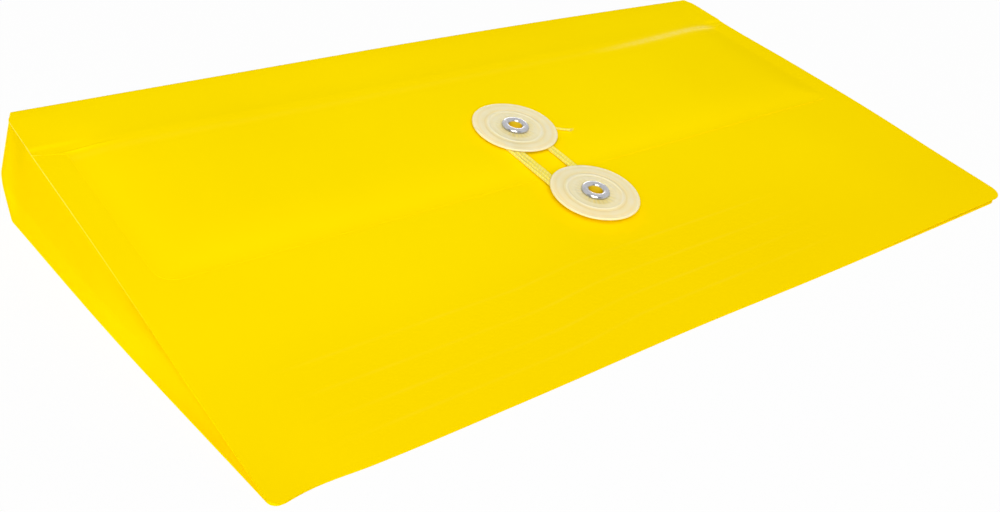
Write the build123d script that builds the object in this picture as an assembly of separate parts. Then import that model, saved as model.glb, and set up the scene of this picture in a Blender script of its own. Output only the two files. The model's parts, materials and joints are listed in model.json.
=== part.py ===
"""String tie envelope: a folded plastic pocket whose flap is held by a string wound round two discs.

The frame is in millimetres: X runs across the envelope, Y from the welded front edge to the mouth,
Z up. The back panel lies on Z = 0 and the origin is the middle of the envelope's footprint.
"""
from build123d import *
import math
import os

# Sheet and pocket
sheet = 0.4
width = 254.0
corner_radius = 4.0
seam_width = 4.0
top_fold_depth = 140.0
front_reach = 2.0
pocket_rise = 31.2
spine_lean = 5.0
spine_bow = 3.6
hinge_gap = 0.3
hinge_lift = 0.1

# Side gussets
gusset_tuck = 3.0
gusset_start = 10.0
gusset_mid_reach = 11.0
gusset_foot_step = 2.0
gusset_edge_play_deg = 0.4
gusset_fold_play_deg = 0.2

# Flap
strip_depth = 20.0
flap_depth = 55.5
flap_side_step = 7.5
flap_corner_radius = 5.0
flap_gap = 0.5
crease_bend_deg = 3.0

# Places of the two posts, from the flap's free edge and from the middle
lower_post_ahead = 13.3
upper_post_inset = 20.9
lower_post_side = -2.6
upper_post_side = -3.6

# Discs
disc_radius = 12.5
disc_thickness = 0.8
disc_edge_round = 0.3
disc_ring_rise = 0.14
hub_radius = 2.8
seat_gap = 0.1
disc_ring_shares = [(0.40, 0.50), (0.60, 0.68), (0.92, 0.975)]
disc_ring_slope_share = 0.02

# Eyelets
barrel_radius = 2.2
barrel_wall = 0.25
barrel_hole_play = 0.05
bore_play = 0.06
roll_radius = 4.0
roll_height = 0.95
roll_edge = 0.25
roll_gap = 0.05
clinch_radius = 3.4
clinch_thickness = 0.3

# String
string_diameter = 0.9
string_pitch = 1.32
string_play = 0.15
string_end_gap = 0.1
left_run_offset = 5.6
last_turn_deg = 130.0
tail_route = [(4.6, -3.2), (9.0, -7.6), (14.0, -10.6)]
tail_arc_share = 0.45
gap_samples = 2400

# The front sheet leaves the seam at this angle and reaches the top fold
hinge_height = 1.5 * sheet + hinge_lift
slope = math.asin(pocket_rise / (top_fold_depth - seam_width))
crease_bend = math.radians(crease_bend_deg)

# Heights above the middle of the front panel's sheet
panel_top = sheet / 2
flap_low = panel_top + flap_gap
flap_middle = flap_low + sheet / 2
flap_top = flap_low + sheet
string_level = flap_top + string_play + string_diameter / 2
disc_low = string_level + string_diameter / 2 + string_play
disc_top = disc_low + disc_thickness

# Depths along the front, counted from the welded front edge
crease_depth = top_fold_depth - strip_depth
front_depth = crease_depth + front_reach
flap_edge_depth = crease_depth - flap_depth
lower_post_depth = flap_edge_depth - lower_post_ahead
upper_post_depth = flap_edge_depth + upper_post_inset
gusset_mid_depth = front_depth + gusset_mid_reach
gusset_foot_depth = top_fold_depth - gusset_foot_step
strip_slope = slope - crease_bend


def side_point(depth, level):
    """Side view place of a point on the front, from its depth and its height above the sheet."""
    along = depth - seam_width
    y = seam_width + along * math.cos(slope) - level * math.sin(slope)
    z = hinge_height + along * math.sin(slope) + level * math.cos(slope)
    return y, z


# Fold lines in the side view, with Y counted from the front edge
crease_y, crease_z = side_point(crease_depth, flap_middle)
fold_y = crease_y + strip_depth * math.cos(strip_slope)
fold_z = crease_z + strip_depth * math.sin(strip_slope)
foot_y = fold_y + spine_lean
foot_z = sheet / 2

# The spine is one arc from its foot to the top fold, bowed backwards
chord_y = fold_y - foot_y
chord_z = fold_z - foot_z
chord = math.hypot(chord_y, chord_z)
spine_radius = chord ** 2 / (8 * spine_bow) + spine_bow / 2
centre_share = (spine_radius - spine_bow) / chord
spine_centre_y = (foot_y + fold_y) / 2 - chord_z * centre_share
spine_centre_z = (foot_z + fold_z) / 2 + chord_y * centre_share
total_depth = spine_centre_y + spine_radius + sheet / 2

# Everything below is placed about the middle of the footprint
middle_y = total_depth / 2


def tilted_plane(y, z, angle):
    """Plane through a side view point, with its own Y climbing towards the mouth at an angle."""
    return Plane(
        origin=(0, y - middle_y, z),
        x_dir=(1, 0, 0),
        z_dir=(0, -math.sin(angle), math.cos(angle)),
    )


front_plane = tilted_plane(seam_width, hinge_height, slope)
strip_plane = tilted_plane(crease_y, crease_z, strip_slope)


def front_place(side, depth, level):
    """Plane on the front panel, with its origin at a place counted from the front edge."""
    return front_plane * Pos(side, depth - seam_width, level)


def strip_of_sheet(across, along):
    """Flat piece of sheet about its middle height, with its front edge on the X axis."""
    return extrude(Rectangle(across, along, align=(Align.CENTER, Align.MIN)), sheet / 2, both=True)


def post_hole(side, depth):
    """Cutter for an eyelet's hole, in the front panel's own plane."""
    hole = Cylinder(barrel_radius + barrel_hole_play, disc_top)
    return Pos(side, depth - seam_width, disc_top / 2 - sheet) * hole


def make_back_panel():
    """Panel that lies on the table, rounded at its front corners."""
    outline = Rectangle(width, foot_y - hinge_gap, align=(Align.CENTER, Align.MIN))
    outline = fillet(outline.vertices().group_by(Axis.Y)[0], corner_radius)
    return Pos(0, -middle_y, 0) * extrude(outline, sheet)


def make_front_seam():
    """Margin of the front sheet that is welded flat to the back panel."""
    outline = Rectangle(width, seam_width, align=(Align.CENTER, Align.MIN))
    outline = fillet(outline.vertices().group_by(Axis.Y)[0], corner_radius - hinge_gap)
    return Pos(0, -middle_y, sheet) * extrude(outline, sheet)


def make_front_panel():
    """Sloping front of the pocket, with the hole for the lower eyelet."""
    length = front_depth - seam_width - hinge_gap
    panel = Pos(0, hinge_gap, 0) * strip_of_sheet(width, length)
    panel -= post_hole(lower_post_side, lower_post_depth)
    return front_plane * panel


def make_flap():
    """Part of the flap past its crease, narrower than the pocket, with the upper eyelet's hole."""
    flap_width = width - 2 * flap_side_step
    outline = Rectangle(flap_width, flap_depth - hinge_gap, align=(Align.CENTER, Align.MIN))
    outline = fillet(outline.vertices().group_by(Axis.Y)[0], flap_corner_radius)
    flap = Pos(0, flap_edge_depth - seam_width, flap_low) * extrude(outline, sheet)
    flap -= post_hole(upper_post_side, upper_post_depth)
    return front_plane * flap


def make_flap_strip():
    """Full width strip of the flap between the top fold and the crease."""
    return strip_plane * Pos(0, hinge_gap, 0) * strip_of_sheet(width, strip_depth - 2 * hinge_gap)


def make_spine():
    """Bowed strip that closes the mouth between the back panel and the top fold."""
    centre = (spine_centre_y - middle_y, spine_centre_z)
    trim = math.degrees(hinge_gap / spine_radius)
    start = math.degrees(math.atan2(foot_z - spine_centre_z, foot_y - spine_centre_y)) + trim
    end = math.degrees(math.atan2(fold_z - spine_centre_z, fold_y - spine_centre_y)) - trim
    inner = CenterArc(centre, spine_radius - sheet / 2, start, end - start)
    outer = CenterArc(centre, spine_radius + sheet / 2, start, end - start)
    edges = [inner, Line(inner @ 1, outer @ 1), outer, Line(outer @ 0, inner @ 0)]
    return extrude(Plane.YZ * make_face(edges), width / 2, both=True)


def gusset_ray(climb, depth, tuck):
    """Point on a fold line of the left gusset; all of them start at the corner of the seam."""
    along = depth - seam_width
    corner_z = (sheet + hinge_height - sheet / 2) / 2
    reach = along * math.cos(climb)
    return (tuck * along - width / 2, seam_width + reach - middle_y, corner_z + along * math.sin(climb))


def make_gusset_half(edge_climb, edge_depth, fold_climb):
    """Half of the left gusset between a panel's edge and the tucked middle fold."""
    tuck = gusset_tuck / (front_depth - seam_width)
    outline = Polyline(
        gusset_ray(edge_climb, gusset_start, 0),
        gusset_ray(edge_climb, edge_depth, 0),
        gusset_ray(fold_climb, gusset_mid_depth, tuck),
        gusset_ray(fold_climb, gusset_start, tuck),
        close=True,
    )
    return extrude(make_face(outline), sheet, dir=(1, 0, 0))


def make_disc(hub_height):
    """Disc with raised rings on its face and a hub below it that the string runs round."""
    bore = barrel_radius + bore_play
    slope_run = disc_ring_slope_share * disc_radius
    top = []
    for inner_share, outer_share in disc_ring_shares:
        inner = inner_share * disc_radius
        outer = outer_share * disc_radius
        top += [(inner, disc_thickness), (inner + slope_run, disc_thickness + disc_ring_rise)]
        top += [(outer - slope_run, disc_thickness + disc_ring_rise), (outer, disc_thickness)]
    profile = Polyline(
        (bore, -hub_height),
        (hub_radius, -hub_height),
        (hub_radius, 0),
        (disc_radius - disc_edge_round, 0),
        (disc_radius, disc_edge_round),
        (disc_radius, disc_thickness - disc_edge_round),
        *reversed(top),
        (bore, disc_thickness),
        close=True,
    )
    return revolve(Plane.XZ * make_face(profile), Axis.Z)


def make_eyelet(grip):
    """Metal eyelet with a rolled rim on the disc and a flat clinch behind the sheet."""
    inner = barrel_radius - barrel_wall
    roll_low = disc_thickness + roll_gap
    crown = ((inner + roll_radius) / 2, roll_low + roll_height)
    roll_arc = ThreePointArc((roll_radius, roll_low + roll_edge), crown, (inner, roll_low + roll_edge))
    walls = Polyline(
        roll_arc @ 1,
        (inner, -grip - clinch_thickness),
        (clinch_radius, -grip - clinch_thickness),
        (clinch_radius, -grip),
        (barrel_radius, -grip),
        (barrel_radius, roll_low),
        (roll_radius, roll_low),
        roll_arc @ 0,
    )
    return revolve(Plane.XZ * make_face([roll_arc, walls]), Axis.Z)


def winding_path(spacing):
    """Route of the wound string about the lower post, with the upper post straight ahead on Y.

    It starts square to the lower hub, goes up on the left and down on the right, one pitch further out
    each time, and leaves the upper post to the right.
    """
    start = -hub_radius - string_end_gap
    bend = left_run_offset + start - string_diameter
    bend_start = start - string_diameter
    left = -left_run_offset
    right = hub_radius + string_play + string_diameter / 2
    edges = [Line((start, 0), (bend_start, 0))]
    edges.append(CenterArc((bend_start, bend), bend, -90, -90))
    low = bend
    for turn in range(3):
        edges.append(Line((left, low), (left, spacing)))
        radius = (right - left) / 2
        if turn == 2:
            break
        edges.append(CenterArc((left + radius, spacing), radius, 180, -180))
        edges.append(Line((right, spacing), (right, 0)))
        next_left = left - string_pitch
        low_radius = (right - next_left) / 2
        edges.append(CenterArc((right - low_radius, 0), low_radius, 0, -180))
        left = next_left
        right += string_pitch
        low = 0
    last = CenterArc((left + radius, spacing), radius, 180, -last_turn_deg)
    edges.append(last)
    edges.append(Line(last @ 1, last @ 1 + (last % 1) * string_diameter))
    return Wire(edges)


def tail_path(start, heading):
    """Route of the string's free end, from the last turn to its cut tip."""
    points = [start] + [start + Vector(x, y) for x, y in tail_route]
    runs = [b - a for a, b in zip(points, points[1:])]
    radii = []
    for before, after in zip(runs, runs[1:]):
        half_turn = math.radians(before.get_angle(after)) / 2
        radii.append(tail_arc_share * min(before.length, after.length) / math.tan(half_turn))
    print("tail radii", [round(radius, 1) for radius in radii], "heading", heading.get_angle(runs[0]))
    return FilletPolyline(*points, radius=radii)


def string_tube(path):
    """Round string swept along a route, with its volume set against its section and length."""
    section = Plane(origin=path @ 0, z_dir=path % 0) * Circle(string_diameter / 2)
    tube = sweep(section, path=path)
    expected = math.pi * string_diameter ** 2 / 4 * path.length
    print("string", round(path.length, 2), "long, volume", round(tube.volume, 3), "of", round(expected, 3))
    return tube


def least_gap(path):
    """Least clear gap between stretches of a route that are not next to each other along it."""
    points = [path @ (i / gap_samples) for i in range(gap_samples + 1)]
    step = path.length / gap_samples
    skip = math.ceil(math.pi * string_diameter / step)
    least = path.length
    for i, point in enumerate(points):
        for other in points[i + skip::2]:
            least = min(least, math.hypot(point.X - other.X, point.Y - other.Y))
    return least - string_diameter


def make_string():
    """Wound part and free tail of the string, on the plane of the winding."""
    across = upper_post_side - lower_post_side
    ahead = upper_post_depth - lower_post_depth
    turn = -math.degrees(math.atan2(across, ahead))
    place = front_place(lower_post_side, lower_post_depth, string_level) * Rot(0, 0, turn)
    route = winding_path(math.hypot(across, ahead))
    tail = tail_path(route @ 1, route % 1)
    print("least gap of the winding to itself", round(least_gap(route), 3))
    return place * string_tube(route), place * string_tube(tail)


def make_parts():
    """All pieces of the envelope by name."""
    edge_play = math.radians(gusset_edge_play_deg)
    fold_play = math.radians(gusset_fold_play_deg)
    upper_half = make_gusset_half(slope - edge_play, front_depth, slope / 2 + fold_play)
    lower_half = make_gusset_half(edge_play, gusset_foot_depth, slope / 2 - fold_play)
    upper_post = front_place(upper_post_side, upper_post_depth, disc_low)
    lower_post = front_place(lower_post_side, lower_post_depth, disc_low)
    winding, tail = make_string()
    return {
        "back_panel": make_back_panel(),
        "front_seam": make_front_seam(),
        "front_panel": make_front_panel(),
        "left_gusset_upper": upper_half,
        "left_gusset_lower": lower_half,
        "right_gusset_upper": mirror(upper_half, Plane.YZ),
        "right_gusset_lower": mirror(lower_half, Plane.YZ),
        "spine": make_spine(),
        "flap_strip": make_flap_strip(),
        "flap": make_flap(),
        "upper_disc": upper_post * make_disc(disc_low - flap_top - seat_gap),
        "lower_disc": lower_post * make_disc(disc_low - panel_top - seat_gap),
        "upper_eyelet": upper_post * make_eyelet(disc_low - flap_low),
        "lower_eyelet": lower_post * make_eyelet(disc_low + panel_top),
        "string_winding": winding,
        "string_tail": tail,
    }


os.makedirs("parts", exist_ok=True)
for name, shape in make_parts().items():
    export_step(shape, f"parts/{name}.step")

print("slope", round(math.degrees(slope), 3), "middle", round(middle_y, 3), "depth", round(total_depth, 3))
print("fold", round(fold_y, 3), round(fold_z, 3), "crease", round(crease_y, 3), round(crease_z, 3))
print("foot", round(foot_y, 3), foot_z, "hinge height", round(hinge_height, 3))
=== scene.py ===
"""Looks of a string tie envelope: folded yellow sheet, milky discs, nickel eyelets and a wound string.

Everything is in metres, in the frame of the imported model: X runs across the envelope, Y from the
welded front edge to the mouth, Z up. Depths are counted along the front, from its welded edge.
"""
from __future__ import annotations

import json
import logging
import math
from collections.abc import Callable
from dataclasses import dataclass, field
from enum import Enum

import bmesh
import bpy
import numpy as np
from mathutils import Matrix, Vector

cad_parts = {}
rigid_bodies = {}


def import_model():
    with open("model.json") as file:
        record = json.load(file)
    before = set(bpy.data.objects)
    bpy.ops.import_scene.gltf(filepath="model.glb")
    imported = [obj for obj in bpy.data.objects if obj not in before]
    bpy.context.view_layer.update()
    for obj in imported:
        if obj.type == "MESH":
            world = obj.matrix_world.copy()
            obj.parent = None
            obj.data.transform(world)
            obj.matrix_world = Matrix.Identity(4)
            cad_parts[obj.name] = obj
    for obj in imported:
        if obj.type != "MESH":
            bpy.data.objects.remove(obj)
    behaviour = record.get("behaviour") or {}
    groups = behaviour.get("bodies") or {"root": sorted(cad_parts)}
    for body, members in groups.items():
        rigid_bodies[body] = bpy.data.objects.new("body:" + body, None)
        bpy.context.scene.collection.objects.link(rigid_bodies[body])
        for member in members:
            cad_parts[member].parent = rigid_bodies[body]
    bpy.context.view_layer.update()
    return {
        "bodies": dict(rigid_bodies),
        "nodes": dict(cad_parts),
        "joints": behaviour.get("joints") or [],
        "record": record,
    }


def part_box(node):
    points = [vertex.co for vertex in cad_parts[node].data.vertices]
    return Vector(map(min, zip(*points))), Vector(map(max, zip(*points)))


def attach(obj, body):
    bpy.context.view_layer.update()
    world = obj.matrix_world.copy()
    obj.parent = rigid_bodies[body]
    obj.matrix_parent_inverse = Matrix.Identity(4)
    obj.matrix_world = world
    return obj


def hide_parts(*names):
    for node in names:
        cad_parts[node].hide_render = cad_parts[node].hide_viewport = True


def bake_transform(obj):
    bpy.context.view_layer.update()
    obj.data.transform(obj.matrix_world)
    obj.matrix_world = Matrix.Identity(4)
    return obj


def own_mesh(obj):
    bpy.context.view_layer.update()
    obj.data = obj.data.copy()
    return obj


LOG = logging.getLogger("envelope")
WHITE = (1.0, 1.0, 1.0, 1.0)

# Numbers of a Mix node's sockets for colours, which share their names with those for other values
MIX_FIRST, MIX_SECOND, MIX_RESULT = 6, 7, 2

# Kinds of value: a band is where something starts and ends, a ring is a middle, a reach and a strength
Colour = tuple[float, float, float]
Band = tuple[float, float]
Ring = tuple[float, float, float]
Table = tuple[Band, ...]
Piece = bpy.types.Object
Material = bpy.types.Material


# Small helpers for shapes

def smooth_step(value: np.ndarray | float, low: float, high: float) -> np.ndarray | float:
    """Rise from 0 to 1 between two values, level at both ends.

    Args:
        value: Where the rise is read.
        low: Value at which it is 0.
        high: Value at which it is 1.

    Returns:
        The share risen.
    """
    share = np.clip((value - low) / (high - low), 0.0, 1.0)
    return share * share * (3 - 2 * share)


def window(value: np.ndarray, start: Band, stop: Band) -> np.ndarray:
    """Smooth rise to 1 over one band and fall back to 0 over another."""
    return smooth_step(value, *start) * (1 - smooth_step(value, *stop))


def unit(vector: np.ndarray) -> np.ndarray:
    """Vector of length 1 in the same direction."""
    return vector / np.linalg.norm(vector)


def lengths_along(points: np.ndarray) -> np.ndarray:
    """Length along a line at each of its points."""
    return np.concatenate([[0.0], np.cumsum(np.linalg.norm(np.diff(points, axis=0), axis=1))])


def points_along(wanted: np.ndarray, lengths: np.ndarray, points: np.ndarray) -> np.ndarray:
    """Points of a side view line at wanted lengths along it."""
    return np.column_stack([np.interp(wanted, lengths, points[:, k]) for k in range(2)])


def mesh_piece(name: str, points: np.ndarray, faces: list, finishes: list[Material]) -> Piece:
    """Makes a mesh object at the origin.

    Args:
        name: Name of the piece.
        points: Vertex places, one row each.
        faces: Vertex indices of each face.
        finishes: Materials of the piece, in slot order.

    Returns:
        The linked object.
    """
    mesh = bpy.data.meshes.new(name)
    mesh.from_pydata(points.tolist(), [], faces)
    for finish in finishes:
        mesh.materials.append(finish)
    made = bpy.data.objects.new(name, mesh)
    bpy.context.scene.collection.objects.link(made)
    return made


def plain_mesh(source: Piece) -> Piece:
    """Turns an object with modifiers into a plain mesh object of the same name.

    Args:
        source: Object to evaluate, which is removed.

    Returns:
        The mesh object that takes its place.
    """
    graph = bpy.context.evaluated_depsgraph_get()
    name = source.name
    mesh = bpy.data.meshes.new_from_object(source.evaluated_get(graph))
    bpy.data.objects.remove(source)
    mesh.name = name
    made = bpy.data.objects.new(name, mesh)
    bpy.context.scene.collection.objects.link(made)
    return made


def set_smooth(piece: Piece, wanted: Callable[[bpy.types.MeshPolygon], bool]) -> None:
    """Shades faces smooth or flat.

    Args:
        piece: Mesh object to shade.
        wanted: Test of a face that is to be smooth.
    """
    flags = [wanted(face) for face in piece.data.polygons]
    piece.data.polygons.foreach_set("use_smooth", flags)
    piece.data.update()


def sharp_rims(piece: Piece) -> None:
    """Shades the faces of a sheet smooth and its rim flat, with a sharp edge between them.

    Args:
        piece: Sheet whose rim is its second material.
    """
    set_smooth(piece, lambda face: face.material_index == 0)
    work = bmesh.new()
    work.from_mesh(piece.data)
    for edge in work.edges:
        edge.smooth = len({face.material_index for face in edge.link_faces}) == 1
    work.to_mesh(piece.data)
    work.free()


def outward_faces(piece: Piece) -> None:
    """Points the faces of a closed mesh outwards.

    Args:
        piece: Mesh object to turn.
    """
    work = bmesh.new()
    work.from_mesh(piece.data)
    bmesh.ops.recalc_face_normals(work, faces=work.faces)
    work.to_mesh(piece.data)
    work.free()


def store(piece: Piece, name: str, values: np.ndarray) -> None:
    """Keeps a number for each vertex on the mesh, where a finish can read it."""
    attribute = piece.data.attributes.new(name, "FLOAT", "POINT")
    attribute.data.foreach_set("value", values.astype(np.float32))


def report(piece: Piece) -> None:
    """Logs a piece's name and its number of faces."""
    LOG.info("%s: %d faces", piece.name, len(piece.data.polygons))


def revolved(name: str, profile: np.ndarray, segments: int, finish: Material) -> Piece:
    """Turns a closed outline in radius and height round the Z axis.

    Args:
        name: Name of the piece.
        profile: Outline points, radius and height, none on the axis.
        segments: Steps round the axis.
        finish: Material of the piece.

    Returns:
        The closed ring shape, with its outline still counted first along the vertices.
    """
    count = len(profile)
    radius, height = profile.T
    angles = np.arange(segments) * 2 * math.pi / segments
    rings = [np.column_stack([radius * math.cos(a), radius * math.sin(a), height]) for a in angles]
    faces = []
    for ring in range(segments):
        first = ring * count
        following = (ring + 1) % segments * count
        for i in range(count):
            j = (i + 1) % count
            faces.append((first + i, following + i, following + j, first + j))
    made = mesh_piece(name, np.concatenate(rings), faces, [finish])
    outward_faces(made)
    set_smooth(made, lambda face: True)
    return made


# Node trees

class Value:
    """What a node's output gives, with arithmetic that adds Math nodes to its tree."""

    def __init__(self, graph: Graph, socket: bpy.types.NodeSocket) -> None:
        """Wraps an output socket of a graph's tree."""
        self.graph = graph
        self.socket = socket

    def other(self, output: str | int) -> Value:
        """Another output of the same node."""
        return Value(self.graph, self.socket.node.outputs[output])

    def math(self, operation: str, *others: Value | float) -> Value:
        """A Math node on this value and others."""
        inputs = dict(enumerate([self, *others]))
        return self.graph.node("ShaderNodeMath", {"operation": operation}, inputs)

    def vector(self, operation: str, *others: Value | tuple, output: int = 0) -> Value:
        """A Vector Math node on this vector and others."""
        inputs = dict(enumerate([self, *others]))
        return self.graph.node("ShaderNodeVectorMath", {"operation": operation}, inputs, output)

    def scaled(self, factor: Value | float) -> Value:
        """This vector times a number."""
        inputs = {0: self, "Scale": factor}
        return self.graph.node("ShaderNodeVectorMath", {"operation": "SCALE"}, inputs)

    def rise(self, low: float, high: float) -> Value:
        """Smooth rise from 0 to 1 as this value goes from low to high."""
        inputs = {"Value": self, "From Min": low, "From Max": high}
        return self.graph.node("ShaderNodeMapRange", {"interpolation_type": "SMOOTHSTEP"}, inputs)

    def window(self, start: Band, stop: Band) -> Value:
        """Smooth rise to 1 over one band and fall back to 0 over another."""
        return self.rise(*start) * (1.0 - self.rise(*stop))

    def near(self, middle: Value | float, reach: float) -> Value:
        """Soft band that is 1 at a middle value and fades to a half at the reach."""
        away = (self - middle) / reach
        return 1.0 / (1.0 + away * away * away * away)

    def ring(self, middle: float, reach: float, strength: float) -> Value:
        """Soft band of a given strength."""
        return self.near(middle, reach) * strength

    def __add__(self, other: Value | float) -> Value:
        """Sum."""
        return self.math("ADD", other)

    __radd__ = __add__

    def __sub__(self, other: Value | float) -> Value:
        """Difference."""
        return self.math("SUBTRACT", other)

    def __rsub__(self, other: float) -> Value:
        """Difference from a number."""
        return self.math("MULTIPLY", -1.0) + other

    def __mul__(self, other: Value | float) -> Value:
        """Product."""
        return self.math("MULTIPLY", other)

    __rmul__ = __mul__

    def __truediv__(self, other: Value | float) -> Value:
        """Quotient."""
        return self.math("DIVIDE", other)

    def __rtruediv__(self, other: float) -> Value:
        """Quotient of a number by this value."""
        return self.math("POWER", -1.0) * other


class Graph:
    """A node tree in the making, for a material, the world or a modifier."""

    def __init__(self, tree: bpy.types.NodeTree) -> None:
        """Empties the tree."""
        self.tree = tree
        tree.nodes.clear()

    def node(
        self, kind: str, settings: dict | None = None, inputs: dict | None = None, output: int | str = 0
    ) -> Value:
        """Adds a node.

        Args:
            kind: Node type.
            settings: The node's own properties, which are set first.
            inputs: Values or links of its sockets, by name or number.
            output: Which output the result wraps.

        Returns:
            The chosen output, or a wrapper of nothing for a node that has none.
        """
        made = self.tree.nodes.new(kind)
        for key, value in (settings or {}).items():
            setattr(made, key, value)
        for key, value in (inputs or {}).items():
            if isinstance(value, Value):
                self.tree.links.new(value.socket, made.inputs[key])
            else:
                made.inputs[key].default_value = value
        return Value(self, made.outputs[output] if len(made.outputs) else None)

    def mix(self, factor: Value | float, first: Value | Colour, second: Value | Colour) -> Value:
        """Colour between two colours.

        Args:
            factor: Share of the second colour.
            first: Colour at 0.
            second: Colour at 1.

        Returns:
            The mixed colour.
        """
        colours = [c if isinstance(c, Value) else (*c, 1.0) for c in (first, second)]
        inputs = {0: factor, MIX_FIRST: colours[0], MIX_SECOND: colours[1]}
        return self.node("ShaderNodeMix", {"data_type": "RGBA"}, inputs, MIX_RESULT)

    def noise(self, place: Value, scale: float, detail: float = 2.0) -> Value:
        """Noise from 0 to 1 with so many features a metre."""
        return self.node("ShaderNodeTexNoise", None, {"Vector": place, "Scale": scale, "Detail": detail})

    def stored(self, name: str) -> Value:
        """Number that the mesh keeps for each vertex."""
        return self.node("ShaderNodeAttribute", {"attribute_name": name}, None, "Fac")

    def place(self) -> tuple[Value, Value, Value, Value]:
        """Reads the object coordinates.

        Returns:
            The coordinates as a vector and as its three parts.
        """
        vector = self.node("ShaderNodeTexCoord", output="Object")
        parts = self.node("ShaderNodeSeparateXYZ", None, {0: vector})
        return vector, parts, parts.other(1), parts.other(2)


def surface(name: str) -> tuple[Material, Graph]:
    """Starts a material.

    Args:
        name: Name of the material.

    Returns:
        The material and the graph of its empty tree.
    """
    material = bpy.data.materials.new(name)
    material.use_nodes = True
    return material, Graph(material.node_tree)


def finish_surface(graph: Graph, sockets: dict) -> None:
    """Ends a material in one Principled shader with the given sockets."""
    shader = graph.node("ShaderNodeBsdfPrincipled", None, sockets)
    graph.node("ShaderNodeOutputMaterial", None, {"Surface": shader})


# Finishes

@dataclass(frozen=True)
class Grain:
    """Fine relief of a finish: its features a metre, their detail, and how strongly and high they stand."""

    scale: float
    detail: float
    strength: float
    height: float

    def noise(self, graph: Graph, place: Value) -> Value:
        """Noise that the relief follows."""
        return graph.noise(place, self.scale, self.detail)

    def normal(self, graph: Graph, noise: Value) -> Value:
        """Normal that shows the relief."""
        inputs = {"Strength": self.strength, "Distance": self.height, "Height": noise}
        return graph.node("ShaderNodeBump", None, inputs)


@dataclass(frozen=True)
class Patches:
    """Uneven strength of a mark: its features a metre, the band of noise that it rises in, and the least."""

    scale: float
    band: Band
    least: float

    def mask(self, graph: Graph, place: Value) -> Value:
        """Strength at each place, up to 1."""
        return graph.noise(place, self.scale).rise(*self.band) * (1 - self.least) + self.least


class SheetMark(Enum):
    """What a panel of the sheet shows: scuffs that handling has left, a painted highlight along the flap's
    crease, or painted shade in the gussets' tucked pleat.
    """

    PLAIN = "plain"
    SCUFFED = "scuffed"
    CREASED = "creased"
    TUCKED = "tucked"


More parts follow.
